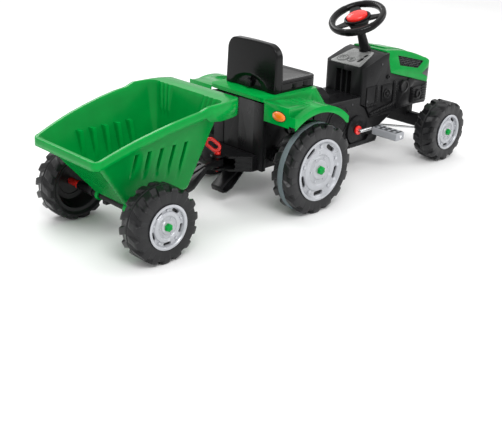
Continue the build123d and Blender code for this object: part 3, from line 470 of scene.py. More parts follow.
# The walls at the floor, and how far each leans out by the tub's full height.
FRONT_FOOT_X = -333.0
FRONT_LEAN = 54.0
REAR_FOOT_X = -533.0
HALF_WIDTHS = {"front": (64, 83), "middle": (66, 88), "rear": (67, 90)}
REAR_LIP_Z = 266.0
LIP_OUT = 10.5
WALL = 3.0
RIM_LINE = [(TUB_REAR_X, REAR_LIP_Z), (-610, 287), (-560, 303), (-505, 317), (-455, 328), (-410, 336),
            (-370, 341), (-341, 351), (-222, 350)]
# Each groove's middle and its foot; the grooves get longer toward the front.
GROOVES = [(-544 + 39 * index, 193 - 10 * index) for index in range(5)]
GROOVE_TOP_Z = 263.0
GROOVE_DEPTH = 17.0
GROOVE_HALF = 7.5
SHELF_FRONT_X = -223.0
SHELF_SKIRT = 44.0
LIP_SKIRT = 21.0
CORNER_STEPS = 6
FRONT_SHARES = [0, 0.12, 0.24, 0.36, 0.46] + [0.52 + 0.03 * step for step in range(16)]
REAR_STEPS = 30
FLUTE_FOOT_Z = 276.0
FLUTE_RUN_OUT = 9.0
FLUTE_DEPTH = 4.0
REAR_RIB_DEPTH = 0.9
REAR_RIB_TOP_Z = 225.0


def rim_height(x):
    """The height of the tub's top edge at a place along its length."""
    for (x0, z0), (x1, z1) in zip(RIM_LINE, RIM_LINE[1:]):
        if x <= x1:
            return z0 + (z1 - z0) * max(0.0, (x - x0) / (x1 - x0))
    return RIM_LINE[-1][1]


def height_share(z):
    """0 at the tub's floor and 1 at its top."""
    return (z - TUB_FLOOR_Z) / (TUB_TOP_Z - TUB_FLOOR_Z)


def tub_plan_sizes(z):
    """Front x, rear x and the half widths at the front, middle and rear of the walls at one height."""
    share = height_share(z)
    rear_lean = (-540 - TUB_REAR_X) * (TUB_TOP_Z - TUB_FLOOR_Z) / (REAR_LIP_Z - TUB_FLOOR_Z)
    halves = [foot + lean * share for foot, lean in HALF_WIDTHS.values()]
    return FRONT_FOOT_X + FRONT_LEAN * share, REAR_FOOT_X - rear_lean * share, *halves


def side_stations():
    """Places along a side wall, front to rear: both edges of every groove, and a few between."""
    offsets = (-GROOVE_HALF - 2, -GROOVE_HALF, -GROOVE_HALF + 2.5, 0, GROOVE_HALF - 2.5, GROOVE_HALF,
               GROOVE_HALF + 2)
    stations = [x + offset for x, low in GROOVES for offset in offsets]
    gaps = [(a[0] + b[0]) / 2 for a, b in zip(GROOVES, GROOVES[1:])]
    return sorted(stations + gaps + [-625, -600, -572, -368, -356, -343], reverse=True)


STATIONS = side_stations()


def groove_depth(x, z):
    """How far the wall is pressed in at a groove: a wedge that ends in a ledge at its top."""
    for groove_x, low in GROOVES:
        if abs(x - groove_x) < GROOVE_HALF - 1 and low < z <= GROOVE_TOP_Z:
            return GROOVE_DEPTH * (z - low) / (GROOVE_TOP_Z - low)
    return 0.0


def corner_arc(corner, before, after, radius):
    """Points of a rounded plan corner."""
    corner = Vector(corner)
    towards = (Vector(before) - corner).normalized()
    onwards = (Vector(after) - corner).normalized()
    half_angle = towards.angle(onwards) / 2
    reach = radius / math.tan(half_angle)
    centre = corner + (towards + onwards).normalized() * (radius / math.sin(half_angle))
    start = corner + towards * reach - centre
    end = corner + onwards * reach - centre
    return [centre + start.lerp(end, step / CORNER_STEPS).normalized() * radius
            for step in range(CORNER_STEPS + 1)]


def flute(y, flat, z):
    """Three upright flutes beside each front corner, only near the rim."""
    share = (y / flat - 0.52) / 0.42
    if not 0 < share < 1:
        return 0.0
    fade = max(0.0, min(1.0, (z - FLUTE_FOOT_Z) / FLUTE_RUN_OUT))
    return FLUTE_DEPTH * fade * math.sin(3 * math.pi * share) ** 2


def tub_plan(z):
    """The left half of the wall's outline at one height, from the front's middle to the rear's middle."""
    front, rear, front_half, middle_half, rear_half = tub_plan_sizes(z)
    share = height_share(z)
    side_middle = (TUB_MIDDLE_X, middle_half)
    front_arc = corner_arc((front, front_half), (front, 0), side_middle, 10 + 14 * share)
    rear_arc = corner_arc((rear, rear_half), side_middle, (rear, 0), 7 + 5 * share)
    flat = front_arc[0].y
    line = [Vector((front - flute(flat * place, flat, z), flat * place)) for place in FRONT_SHARES]
    line += front_arc
    count = len(STATIONS)
    for index, station in enumerate(STATIONS):
        x = min(station, front_arc[-1].x - 1 - index * 0.6)
        x = max(x, rear_arc[0].x + 1 + (count - 1 - index) * 0.6)
        if x > TUB_MIDDLE_X:
            y = middle_half + (front_half - middle_half) * (x - TUB_MIDDLE_X) / (front - TUB_MIDDLE_X)
        else:
            y = rear_half + (middle_half - rear_half) * (x - rear) / (TUB_MIDDLE_X - rear)
        line.append(Vector((x, y - groove_depth(x, z))))
    line += rear_arc
    flat = rear_arc[-1].y
    for step in range(1, REAR_STEPS + 1):
        rib = REAR_RIB_DEPTH if step % 2 and z < REAR_RIB_TOP_Z else 0.0
        line.append(Vector((rear + rib, flat * (1 - step / REAR_STEPS))))
    return line


def rim_points():
    """The top edge of the walls, where each rises to meet the rim line."""
    points = []
    for index in range(len(tub_plan(TUB_FLOOR_Z))):
        z = REAR_LIP_Z
        for _ in range(9):
            z = (z + rim_height(tub_plan(z)[index].x)) / 2
        place = tub_plan(z)[index]
        points.append((place.x, place.y, z))
    return points


def lip_edge(index, count, x, y):
    """The outer edge of the lip beside one rim point, and how deep its skirt hangs."""
    front_flat = len(FRONT_SHARES)
    front_end = front_flat + CORNER_STEPS
    rear_start = count - REAR_STEPS - CORNER_STEPS - 1
    shelf_y = 138.0
    if index < front_flat:
        return SHELF_FRONT_X, y * shelf_y / 147, SHELF_SKIRT
    if index <= front_end:
        turn = (index - front_flat) / CORNER_STEPS
        out_x = SHELF_FRONT_X + (x - SHELF_FRONT_X) * turn ** 2
        out_y = shelf_y - 6 * (1 - turn) ** 3 + (y + LIP_OUT - shelf_y) * turn
        return out_x, out_y, SHELF_SKIRT
    if index < rear_start:
        skirt = LIP_SKIRT + (SHELF_SKIRT - LIP_SKIRT) * max(0.0, min(1.0, (x + 352) / 12))
        return x, y + LIP_OUT, skirt
    turn = min(1.0, (index - rear_start) / CORNER_STEPS) * math.pi / 2
    sideways = LIP_OUT * math.cos(turn) if index < count - REAR_STEPS else 0.0
    return x - LIP_OUT * math.sin(turn), y + sideways, LIP_SKIRT


def lip_rows(tops):
    """Rows from the rim over the rounded lip and down its skirt.

    Each is (back from the lip's edge, down from the rim); None is halfway to the edge.
    """
    rows = []
    section = [(None, 0.0), (3.2, -0.1), (1.3, 0.5), (0.3, 1.9), (0, 4.5), (-0.3, 11), (-0.6, 100)]
    for back, down in section:
        row = []
        for index, (x, y, z) in enumerate(tops):
            out_x, out_y, skirt = lip_edge(index, len(tops), x, y)
            edge = Vector((out_x, out_y)) - Vector((x, y))
            reach = max(edge.length, 0.001)
            along = 0.5 if back is None else (reach - back) / reach
            row.append((x + edge.x * along, y + edge.y * along, z - min(down, skirt)))
        rows.append(row)
    return rows


def tub_rows():
    """Half outlines from the floor's middle, out to the walls, up them and over the lip."""
    base = tub_plan(TUB_FLOOR_Z)
    centre_x = -430
    rows = []
    for share, z in ((0.2, 107.5), (0.6, 107.5), (0.9, 107.5), (0.985, 108.2)):
        rows.append([(centre_x + (p.x - centre_x) * share, p.y * share, z) for p in base])
    heights = [110.5, 118, 130, 142, 152, 160, *(164 + 5 * step for step in range(9)), 212, 222, 232, 242,
               252, 258, 262.9, 263.4]
    rows += [[(p.x, p.y, z) for p in tub_plan(z)] for z in heights]
    tops = rim_points()
    start = heights[-1]
    for share in (0.14, 0.26, 0.62, 0.88, 1.0):
        row = []
        for index, (x, y, top) in enumerate(tops):
            z = start + (top - start) * share
            place = tub_plan(z)[index]
            row.append((place.x, place.y, z))
        rows.append(row)
    return rows + lip_rows(tops)


def hinge_lug(side):
    """A rounded tab under the floor that turns on the trailer's axle tube."""
    rings = []
    steps = 24
    for step in range(steps):
        turn = math.tau * step / steps
        outer = (14 * math.sin(turn), min(11.5, 14 * math.cos(turn)))
        hole = (9.3 * math.sin(turn), 9.3 * math.cos(turn))
        rings.append([(TRAILER_AXLE_X + x, side * y, SMALL_R + z)
                      for y, (x, z) in ((54, outer), (54, hole), (66, hole), (66, outer))])
    return looped(rings)


def build_tub():
    points = []
    for row in tub_rows():
        points += row
        points += [(x, -y, z) for x, y, z in reversed(row[1:-1])]
    count = len(tub_plan(TUB_FLOOR_Z)) * 2 - 2
    faces = ring_faces(len(points) // count, count)
    faces.append(tuple(range(count)))
    tub = new_object("trailer_tub_shell", points, faces)
    thick = tub.modifiers.new("wall", "SOLIDIFY")
    thick.thickness = WALL * MM
    thick.offset = -1
    thick.use_even_offset = False
    finish_piece(tub, "green", "tub", ("trailer_tub",), sharp=50)
    tabs = new_object("tub_hinge_tabs", *joined([hinge_lug(1), hinge_lug(-1)]))
    finish_piece(tabs, "green", "tub", bevel=0.8)


# ---- seat
SEAT_FLOOR = 319.4
SEAT_HALF = 97.0
BACK_TOP = 453.0
BACK_CORNER = 36.0
PAN_TOP = 352.0
PAN_FRONT = 125.0
PAN_CORNER = 26.0
PAN_MIDDLE_X = 48.0
FRONT_BOW = 2.5
DISH_Z = 349.8


def back_outline(inset):
    """The back seen from behind: square at the foot and round at the top, drawn in by inset."""
    half = SEAT_HALF - inset
    low = SEAT_FLOOR + inset
    high = BACK_TOP - inset
    corner = max(BACK_CORNER - inset, 4)
    foot = [(-half + 2 * half * step / 16, low) for step in range(17)]
    right = [(half, low + (high - corner - low) * step / 10) for step in range(1, 10)]
    for step in range(11):
        turn = math.pi / 2 * step / 10
        right.append((half - corner + corner * math.cos(turn), high - corner + corner * math.sin(turn)))
    top = [((half - corner) * (1 - 2 * step / 14), high + 2.0 * math.sin(math.pi * step / 14))
           for step in range(1, 14)]
    return foot + right + top + [(-y, z) for y, z in reversed(right)]


def back_rear_x(y, z):
    """The rear face: leaning back a little, cupped in plan, with an arched recess for the knob."""
    lean = 6 * (z - SEAT_FLOOR) / (BACK_TOP - SEAT_FLOOR)
    arch = math.hypot(y / 60, (z - SEAT_FLOOR) / 38)
    return -56 + lean + 4 * (y / SEAT_HALF) ** 2 + 5 * smooth_step((1.06 - arch) / 0.1)


def back_front_x(y, z):
    """The front face, leaning back and cupped a little more."""
    return -22 - 8 * (z - SEAT_FLOOR) / (BACK_TOP - SEAT_FLOOR) + 7 * (y / SEAT_HALF) ** 2


def build_seat_back():
    """Rings from the middle of the rear face, round the edge, to the middle of the front panel."""
    rings = []
    for inset in (*range(62, 2, -4), 3):
        rings.append([(back_rear_x(y, z), y, z) for y, z in back_outline(inset)])
    edge = ((1.2, 0.03), (0.2, 0.09), (0, 0.2), (0, 0.5), (0, 0.8), (0.2, 0.91), (1.2, 0.975), (3, 1.0))
    for inset, share in edge:
        ring = []
        for y, z in back_outline(inset):
            rear = back_rear_x(y, z)
            ring.append((rear + (back_front_x(y, z) - rear) * share, y, z))
        rings.append(ring)
    panel = ((9, 0.0), (10.5, 0.6), (11.5, 3.4), (13, 4.0), (22, 4.0), (36, 4.0), (50, 4.0), (62, 4.0))
    for inset, sunk in panel:
        rings.append([(back_front_x(y, z) - sunk, y, z) for y, z in back_outline(inset)])
    back = new_object("seat_back_shell", *capped(rings))
    finish_piece(back, "seat", "seat", ("seat_shell",), sharp=48)


FRONT_SLOTS = (-46, 0, 46)
SIDE_SLOTS = (28, 72)
SLOT_HALF = 11.0


def slot_stations(centres, ends):
    """Places along one edge of the pan: the ends and the middle of every slot, and a few more."""
    offsets = (-SLOT_HALF - 1.5, -SLOT_HALF, 0, SLOT_HALF, SLOT_HALF + 1.5)
    return sorted([*ends, *(centre + offset for centre in centres for offset in offsets)])


def pressed(place, slots, sunk):
    """How far the pan's skirt is pressed in at a place along it."""
    return sunk if any(abs(place - slot) < SLOT_HALF - 0.5 for slot in slots) else 0


def pan_outline(inset, sunk):
    """The seat pan in plan, from the left rear round the front; sunk presses its slots in."""
    half = SEAT_HALF - inset
    front = PAN_FRONT - inset
    corner = max(PAN_CORNER - inset, 6)
    left = [(x, half - pressed(x, SIDE_SLOTS, sunk)) for x in slot_stations(SIDE_SLOTS, (-24, -8, 8, 92))]
    for step in range(9):
        turn = math.pi / 2 * step / 8
        left.append((front - corner + corner * math.sin(turn), half - corner + corner * math.cos(turn)))
    end = half - corner - 6
    front_edge = [(front + FRONT_BOW * math.cos(y / half * 1.4) - pressed(y, FRONT_SLOTS, sunk), y)
                  for y in reversed(slot_stations(FRONT_SLOTS, (end, -end)))]
    return left + front_edge + [(x, -y) for x, y in reversed(left)]


def build_seat_pan():
    """The moulded pan: a slotted skirt, a shadow line under the top, and a gently dished top."""
    section = [(0.6, SEAT_FLOOR, 0), (0, SEAT_FLOOR + 1, 0), (0, 325.5, 0), (0, 326, 6), (0, 339, 6),
               (0, 339.5, 0), (0, 343.2, 0), (1.6, 343.8, 0), (1.6, 345.2, 0), (0, 345.8, 0), (0, 348.5, 0),
               (0.7, 350.4, 0), (2.4, 351.6, 0), (5, PAN_TOP, 0), (12, PAN_TOP, 0), (13, 351.2, 0),
               (15, 350.4, 0), (26, DISH_Z, 0)]
    rings = [[(x, y, z) for x, y in pan_outline(inset, sunk)] for inset, z, sunk in section]
    last = rings[-1]
    for share in (0.75, 0.5, 0.25, 0.04):
        dish = DISH_Z - 1.2 * (1 - share)
        rings.append([(PAN_MIDDLE_X + (x - PAN_MIDDLE_X) * share, y * share, dish) for x, y, _ in last])
    pan = new_object("seat_pan_shell", *capped(rings))
    finish_piece(pan, "seat", "seat", sharp=48)


# ---- steering wheel
STEERING_TILT = math.radians(26)
WHEEL_TURN = math.radians(46)
WHEEL_CENTRE = Vector((407, 0, 466))
RIM_R = 80.0
TUBE_R = 11.2


def on_wheel(x, y, z):
    """A point in the steering wheel's own plane: x toward the wide spoke, z up the column."""
    ahead, left = turned(x, y, WHEEL_TURN)
    return (WHEEL_CENTRE.x + ahead * math.cos(STEERING_TILT) - z * math.sin(STEERING_TILT), left,
            WHEEL_CENTRE.z + ahead * math.sin(STEERING_TILT) + z * math.cos(STEERING_TILT))


def grip_swell(turn):
    """The rim is thicker and ridged where the hands go, between the spokes."""
    for centre in (54, -54, 180):
        away = abs((math.degrees(turn) - centre + 180) % 360 - 180)
        if away < 34:
            ridge = 0.35 * (0.5 + 0.5 * math.cos(math.radians(away * 360 / 6.8)))
            return 0.7 * smooth_step((34 - away) / 2.5) + ridge
    return 0.0


def build_steering_wheel():
    points = []
    around = 240
    tube = 20
    for step in range(around):
        turn = math.tau * step / around
        thick = TUBE_R - 0.6 + grip_swell(turn)
        for part in range(tube):
            angle = math.tau * part / tube
            reach = RIM_R + thick * math.cos(angle) * 0.96
            points.append(on_wheel(*turned(reach, 0, turn), thick * math.sin(angle)))
    rim = new_object("steering_wheel_rim", points, ring_faces(around, tube, closed_rows=True))
    finish_piece(rim, "seat", "steering", ("steering_wheel",), sharp=60)

    spokes = ((0, 30.5, 42, 34), (107, 36.5, 26, 19), (-107, 36.5, 26, 19))
    for index, (turn, start, inner_width, outer_width) in enumerate(spokes):
        build_spoke(index, math.radians(turn), start, inner_width, outer_width)
    build_hub()


def build_spoke(index, turn, start, inner_width, outer_width):
    """A spoke that leaves the hub wide and low and meets the rim narrower and higher."""
    section = [(-0.5, -3), (-0.46, -4.2), (0.46, -4.2), (0.5, -3), (0.5, 1.6), (0.44, 3.2), (0.2, 3.7),
               (-0.2, 3.7), (-0.44, 3.2), (-0.5, 1.6)]
    rings = []
    steps = 10
    for step in range(steps + 1):
        share = step / steps
        reach = start + (RIM_R - 2 - start) * share
        width = inner_width + (outer_width - inner_width) * smooth_step(share * 1.4)
        rise = -3.5 + 2.5 * smooth_step(share)
        rings.append([on_wheel(*turned(reach, across * width, turn), rise + up) for across, up in section])
    spoke = new_object(f"steering_spoke_{index}", *capped(rings))
    finish_piece(spoke, "seat", "steering", bevel=0.7)


def build_hub():
    """The oval bezel round the horn button."""
    section = [(0.8, -9), (1, -9), (1.06, -6), (1.06, 1.5), (1.03, 4), (0.97, 5.2), (0.89, 5),
               (0.865, 3.6), (0.86, -4), (0.8, -6)]
    points = []
    around = 96
    for step in range(around):
        turn = math.tau * step / around
        for share, up in section:
            points.append(on_wheel(32 * share * math.cos(turn), 40 * share * math.sin(turn), up))
    hub = new_object("steering_hub_bezel", points, ring_faces(around, len(section), closed_rows=True))
    finish_piece(hub, "seat", "steering", sharp=35)


# ---- hood grilles
HOOD_HALF = 81.0
GRILLE = [(541, 344), (546, 313), (640, 292), (673, 311)]
CELL_PITCH = 8.4
CELL_BAR = 1.7
CELL_MARGIN = 3.2
FIRST_CELL = (541, 290)


def hood_side_y(z):
    """How far out the hood's side is at a height: upright, then leaning in above the shoulder."""
    return HOOD_HALF - 9 * max(0.0, z - 300) / 38


def inside_grille(x, z, margin):
    """Whether a point is inside the grille's outline by at least the margin."""
    for (x0, z0), (x1, z1) in zip(GRILLE, GRILLE[1:] + GRILLE[:1]):
        length = math.hypot(x1 - x0, z1 - z0)
        off = ((x1 - x0) * (z - z0) - (z1 - z0) * (x - x0)) / length
        if off < margin:
            return False
    return True


def honeycomb(side):
    """Joined six-sided cells over the grille opening, as raised bars."""
    points = []
    faces = []
    row_pitch = CELL_PITCH * math.sqrt(3) / 2
    outer_r = CELL_PITCH / math.sqrt(3)
    inner_r = outer_r - CELL_BAR / 2
    for row in range(12):
        for column in range(-8, 20):
            x = FIRST_CELL[0] + CELL_PITCH * (column + 0.5 * (row % 2))
            z = FIRST_CELL[1] + row_pitch * row
            if not inside_grille(x, z, CELL_MARGIN):
                continue
            base = len(points)
            for depth in (-0.4, -3.4):
                for reach in (outer_r, inner_r):
                    for corner in range(6):
                        turn = math.tau * (corner + 0.5) / 6
                        px = x + reach * math.cos(turn)
                        pz = z + reach * math.sin(turn)
                        points.append((px, side * (hood_side_y(pz) + depth), pz))
            front_out, front_in, rear_out, rear_in = (base + 6 * ring for ring in range(4))
            walls = ((front_out, front_in), (front_in, rear_in), (front_out, rear_out), (rear_out, rear_in))
            for corner in range(6):
                after = (corner + 1) % 6
                faces += [(near + corner, near + after, far + after, far + corner) for near, far in walls]
    return points, faces


def grille_frame(side):
    """The recessed backing behind the honeycomb, and the narrow frame round it."""
    centre_x = sum(x for x, z in GRILLE) / 4
    centre_z = sum(z for x, z in GRILLE) / 4
    rings = []
    for share, depth in ((1.0, -0.2), (0.93, -0.2), (0.92, -4.0), (0.5, -4.6), (0.05, -4.6)):
        ring = []
        for (x0, z0), (x1, z1) in zip(GRILLE, GRILLE[1:] + GRILLE[:1]):
            for step in range(6):
                x = x0 + (x1 - x0) * step / 6
                z = z0 + (z1 - z0) * step / 6
                x = centre_x + (x - centre_x) * share
                z = centre_z + (z - centre_z) * share
                ring.append((x, side * (hood_side_y(z) + depth), z))
        rings.append(ring)
    rings.append([(x, y - side * 1.0, z) for x, y, z in rings[-1]])
    rings.append([(x, side * (hood_side_y(z) - 6.0), z) for x, y, z in rings[0]])
    return looped(rings)


def build_grilles():
    for name, side in SIDES.items():
        replaced = ("hood_grilles",) if side > 0 else ()
        cells = new_object(f"grille_honeycomb_{name}", *honeycomb(side))
        finish_piece(cells, "grille", "tractor", replaced, sharp=30)
        backing = new_object(f"grille_backing_{name}", *grille_frame(side))
        finish_piece(backing, "seat", "tractor", sharp=30)


# ---- dashboard
DASH_REAR = Vector((361, 0, 328))
DASH_SLOPE = math.atan2(30, 96)


def on_dash(x, y, z):
    """A point on the dashboard: x up the slope from its rear edge, z off its face."""
    return (DASH_REAR.x + x * math.cos(DASH_SLOPE) - z * math.sin(DASH_SLOPE), y,
            DASH_REAR.z + x * math.sin(DASH_SLOPE) + z * math.cos(DASH_SLOPE))


def dash_ring(x, y, outer, inner, low, high, steps=48):
    """A flat ring standing on the dashboard."""
    points = []
    for reach, z in ((outer, low), (outer, high), (inner, high), (inner, low)):
        for step in range(steps):
            turn = math.tau * step / steps
            points.append(on_dash(x + reach * math.cos(turn), y + reach * math.sin(turn), z))
    return points, ring_faces(4, steps, closed_rows=True)


def dash_bar(x, y, length, width, turn, low, high):
    """A small bar standing on the dashboard, pointing at an angle."""
    points = []
    for z in (low, high):
        for along, across in ((-0.5, -0.5), (0.5, -0.5), (0.5, 0.5), (-0.5, 0.5)):
            ahead, left = turned(along * length, across * width, turn)
            points.append(on_dash(x + ahead, y + left, z))
    return points, [(0, 1, 2, 3), (4, 5, 6, 7), (0, 1, 5, 4), (1, 2, 6, 5), (2, 3, 7, 6), (3, 0, 4, 7)]


def build_dash_marks():
    """Two plain dials with ticks and a pointer, and black wells in the key slots: painted shade for the
    slots' dark insides.
    """
    marks = []
    for x, y, reach, ticks in ((30, 30, 15, 13), (30, -4, 9, 9)):
        marks.append(dash_ring(x, y, reach + 4.2, reach + 3.2, 2.6, 3.7))
        for tick in range(ticks):
            turn = math.radians(-40 + 260 * tick / (ticks - 1))
            ahead, left = turned(reach - 4.5, 0, turn)
            marks.append(dash_bar(x + ahead, y + left, 2.4, 0.8, turn, 2.6, 3.5))
        marks.append(dash_bar(x + 2.5, y + 1.5, reach * 0.75, 1.2, math.radians(35), 2.6, 4.0))
    dials = new_object("dash_dial_marks", *joined(marks))
    finish_piece(dials, "black", "tractor", bevel=0.12)
    # Painted shade: shallow black wells stand in for the shade inside the key slots.
    wells = []
    for x, y, length, width in ((38, -34, 30, 11), (66, -32, 20, 9)):
        rings = []
        for inset, z in ((0.1, 1.6), (0.1, 2.9), (2.2, 2.9), (2.9, 2.0), (width / 2 - 0.6, 2.0)):
            half = width / 2 - inset
            reach = (length - width) / 2
            ring = []
            for step in range(32):
                turn = math.tau * step / 32
                shift = reach if math.cos(turn) >= 0 else -reach
                ring.append(on_dash(x + shift + half * math.cos(turn), y + half * math.sin(turn), z))
            rings.append(ring)
        wells.append(capped(rings))
    slots = new_object("dash_key_slot_shade", *joined(wells))
    finish_piece(slots, "seat", "tractor", sharp=40)


# ---- relief lines on the fenders
FENDER_R = 178.0
LEAF_Y = 168.0


def fender_point(lean, y, rise):
    """A point over the wheel arch: lean is the angle ahead of straight up, in degrees."""
    turn = math.radians(lean)
    reach = FENDER_R + rise
    return reach * math.sin(turn), y, REAR_R + reach * math.cos(turn)


def fender_ridge(path, side, width, rise):
    """A rounded ridge along a path of (lean, y) places on the fender."""
    section = [(-0.5, -0.6), (-0.32, 0.62), (0, 1.0), (0.32, 0.62), (0.5, -0.6)]
    rings = []
    for index, (lean, y) in enumerate(path):
        before = path[max(index - 1, 0)]
        after = path[min(index + 1, len(path) - 1)]
        run = (after[0] - before[0]) * math.radians(1) * FENDER_R
        step = after[1] - before[1]
        length = math.hypot(run, step)
        taper = min(1.0, 0.25 + 1.6 * min(index, len(path) - 1 - index) / len(path) * 2)
        ring = []
        for across, up in section:
            shift_lean = -step / length * across * width / math.radians(1) / FENDER_R
            shift_y = run / length * across * width
            ring.append(fender_point(lean + shift_lean, side * (y + shift_y), up * rise * taper))
        rings.append(ring)
    return capped(rings)


def build_fender_relief():
    """A plain leaf of raised lines on top of each fender."""
    shares = [step / 22 for step in range(23)]
    for name, side in SIDES.items():
        ridges = []
        for bulge, start, end in ((17, -26, 16), (-13, -26, 16), (8, -20, 10), (0, -21, 6), (-6, -18, 9)):
            path = [(start + (end - start) * share, LEAF_Y + bulge * math.sin(math.pi * share))
                    for share in shares]
            ridges.append(fender_ridge(path, side, 2.6, 1.6))
        leaf = new_object(f"fender_relief_{name}", *joined(ridges))
        finish_piece(leaf, "green", "tractor", sharp=60)


# ---- painted shade between the pedal bars, and axle pattern
def rounded_plate(low_corner, high_corner, corner, steps=5):
    """A plate with rounded upright corners, from two opposite corner points."""
    (x0, y0, z0), (x1, y1, z1) = low_corner, high_corner
    outline = []
    for cx, cy, start in ((x1 - corner, y1 - corner, 0), (x0 + corner, y1 - corner, 90),
                          (x0 + corner, y0 + corner, 180), (x1 - corner, y0 + corner, 270)):
        for step in range(steps + 1):
            turn = math.radians(start + 90 * step / steps)
            outline.append((cx + corner * math.cos(turn), cy + corner * math.sin(turn)))
    return capped([[(x, y, z) for x, y in outline] for z in (z0, z1)])


def build_pedal_bar_shade():
    """Dark plates between the pedal's anti-slip bars, above and below: painted shade for the recesses
    between the bars.
    """
    for name in SIDES:
        low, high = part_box(f"pedal_{name}")
        x0 = (low.x - REAR_AXLE.x) / MM + 3
        x1 = (high.x - REAR_AXLE.x) / MM - 3
        plates = [rounded_plate((x0, low.y / MM + 4, z - 0.35), (x1, high.y / MM - 4, z + 0.35), 4)
                  for z in (high.z / MM - 1.25, low.z / MM + 1.25)]
        bar_shade = new_object(f"pedal_tread_{name}", *joined(plates))
        finish_piece(bar_shade, "bar_shade", f"pedal_{name}", bevel=0.2)


BLOCK_PITCH = 17.0
BLOCK_HALF = 6.6
BEAM_MIDDLE_Z = 111.0


def build_axle_pattern():
    """Slanted blocks moulded in two rows along the front of the axle beam, like a tread."""
    low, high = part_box("front_axle_beam")
    face_x = (high.x - REAR_AXLE.x) / MM
    blocks = []
    for column in range(-7, 8):
        y = column * BLOCK_PITCH
        for row_low, row_high, slant in ((93, 110, 5), (112, 129, -5)):
            rings = []
            for out, inset in ((-4, 0), (0.6, 0.2), (1.7, 1.6)):
                half = BLOCK_HALF - inset
                ring = []
                for z, tilt in ((row_low + inset, -slant), (row_high - inset, slant)):
                    drop = 0.3 * max(0.0, abs(z - BEAM_MIDDLE_Z) - 10)
                    ring += [(face_x + out - drop, y + across + tilt, z) for across in (-half, half)]
                rings.append([ring[0], ring[1], ring[3], ring[2]])
            blocks.append(capped(rings))
    pattern = new_object("front_beam_blocks", *joined(blocks))
    finish_piece(pattern, "black", "tractor", bevel=0.5)


# ---- ribs on the hitch bracket
BRACKET_LOW_Z = 104.0
BRACKET_RISE = 44.0
BRACKET_RIBS = 3


def bracket_rib(side, low, high):
    """A raised bar along the slanting side of the hitch bracket, thinning away at both ends."""
    start = Vector((-112.5, side * 77.8))
    end = Vector((-148.0, side * 46.6))
    along = (end - start).normalized()
    out = Vector((along.y, -along.x)) * side
    rings = []
    for share, proud in ((0, -0.5), (0.04, 1.8), (0.96, 1.8), (1, -0.5)):
        place = start.lerp(end, share)
        corners = ((-1.0, low), (proud, low + 0.8), (proud, high - 0.8), (-1.0, high))
        rings.append([(*(place + out * depth), z) for depth, z in corners])
    return capped(rings)


def build_bracket_ribs():
    pitch = BRACKET_RISE / BRACKET_RIBS
    feet = [BRACKET_LOW_Z + pitch * row + 3.4 for row in range(BRACKET_RIBS)]
    for name, side in SIDES.items():
        bars = [bracket_rib(side, foot, foot + pitch - 6.8) for foot in feet]
        ribs = new_object(f"hitch_bracket_ribs_{name}", *joined(bars))
        finish_piece(ribs, "black", "tractor", bevel=0.3)


# ---- rims round the tail lights
LAMP_PLACE = Vector((-100.2, 165.0, 283.0))
LAMP_HALF = (24.0, 13.5)
LAMP_RIM_R = 1.4


def build_lamp_rims():
    """A thin dark gasket round each tail light."""
    around = 56
    tube = 8
    for name, side in SIDES.items():
        points = []
        for step in range(around):
            turn = math.tau * step / around
            for part in range(tube):
                angle = math.tau * part / tube
                grow = LAMP_RIM_R * math.cos(angle)
                points.append((LAMP_PLACE.x + LAMP_RIM_R * math.sin(angle),
                               side * LAMP_PLACE.y + (LAMP_HALF[0] + grow) * math.cos(turn),
                               LAMP_PLACE.z + (LAMP_HALF[1] + grow) * math.sin(turn)))
        rim = new_object(f"tail_light_rim_{name}", points, ring_faces(around, tube, closed_rows=True))
        finish_piece(rim, "black", "tractor", sharp=60)


# ---- stage, lights and camera
def soft_light(name, place, target, size, power):
    """A wide area light that points at the target."""
    data = bpy.data.lights.new(name, "AREA")
    data.shape = "RECTANGLE"
    data.size = size
    data.size_y = size * 0.6
    data.energy = power
    light = bpy.data.objects.new(name, data)
    light.location = place
    light.rotation_euler = (Vector(target) - Vector(place)).to_track_quat("-Z", "Y").to_euler()
    SCENE.collection.objects.link(light)


FLOOR_HALF = 9.0
WORLD_STRENGTH = 0.85


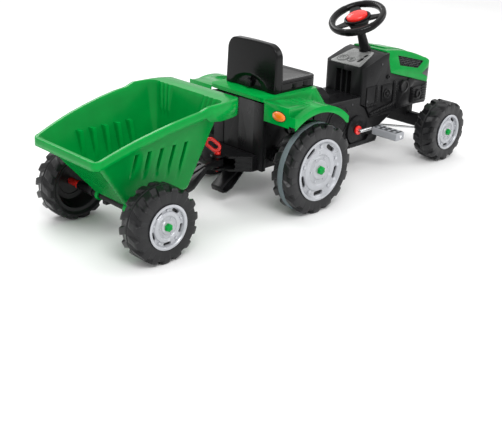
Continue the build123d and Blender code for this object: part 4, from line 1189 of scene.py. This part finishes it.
def build_stage():
    """A pale floor, an even white surround and four soft lights."""
    mesh = bpy.data.meshes.new("floor")
    corners = [(x * FLOOR_HALF, y * FLOOR_HALF, 0) for x, y in ((-1, -1), (1, -1), (1, 1), (-1, 1))]
    mesh.from_pydata(corners, [], [(0, 1, 2, 3)])
    floor = bpy.data.objects.new("floor", mesh)
    SCENE.collection.objects.link(floor)
    pale = Paint("pale_floor", (0.9, 0.9, 0.9), 0.8, specular=0.1)
    pale.colour(pale.ramp(pale.noise(3), (0.89, 0.89, 0.89), (0.92, 0.92, 0.92)))
    mesh.materials.append(pale.material)

    world = bpy.data.worlds.new("studio")
    world.use_nodes = True
    background = world.node_tree.nodes["Background"]
    background.inputs["Color"].default_value = (1, 1, 1, 1)
    background.inputs["Strength"].default_value = WORLD_STRENGTH
    SCENE.world = world

    centre = (0, 0, 0.2)
    soft_light("overhead", (0.4, 1.2, 4.2), (0.4, 1.2, 0), 6.0, 40)
    soft_light("key", (-1.4, -1.9, 2.6), centre, 1.7, 50)
    soft_light("fill", (2.4, -1.6, 1.6), centre, 2.0, 14)
    soft_light("back", (0.2, 2.6, 2.4), centre, 2.0, 34)


def build_camera():
    """Behind the trailer and to the right, looking down a little, as a shop picture would."""
    azimuth = math.radians(-45.2)
    elevation = math.radians(22.9)
    roll = math.radians(2.1)
    back = Vector((math.sin(azimuth) * math.cos(elevation), -math.cos(azimuth) * math.cos(elevation),
                   math.sin(elevation)))
    right = Vector((math.cos(azimuth), math.sin(azimuth), 0))
    up = back.cross(right)
    side = right * math.cos(roll) + up * math.sin(roll)
    top = up * math.cos(roll) - right * math.sin(roll)
    data = bpy.data.cameras.new("picture_camera")
    data.sensor_width = 36
    data.lens = 63.8
    data.clip_end = 50
    camera = bpy.data.objects.new("picture_camera", data)
    place = frame_point((-1772, -1733, 963))
    camera.matrix_world = Matrix.Translation(place) @ Matrix((side, top, back)).transposed().to_4x4()
    SCENE.collection.objects.link(camera)
    SCENE.camera = camera


dress_nodes()
build_tyres()
build_caps()
build_tub()
build_seat_back()
build_seat_pan()
build_steering_wheel()
build_grilles()
build_dash_marks()
build_fender_relief()
build_pedal_bar_shade()
build_axle_pattern()
build_bracket_ribs()
build_lamp_rims()
build_stage()
build_camera()
SCENE.view_settings.view_transform = "Standard"
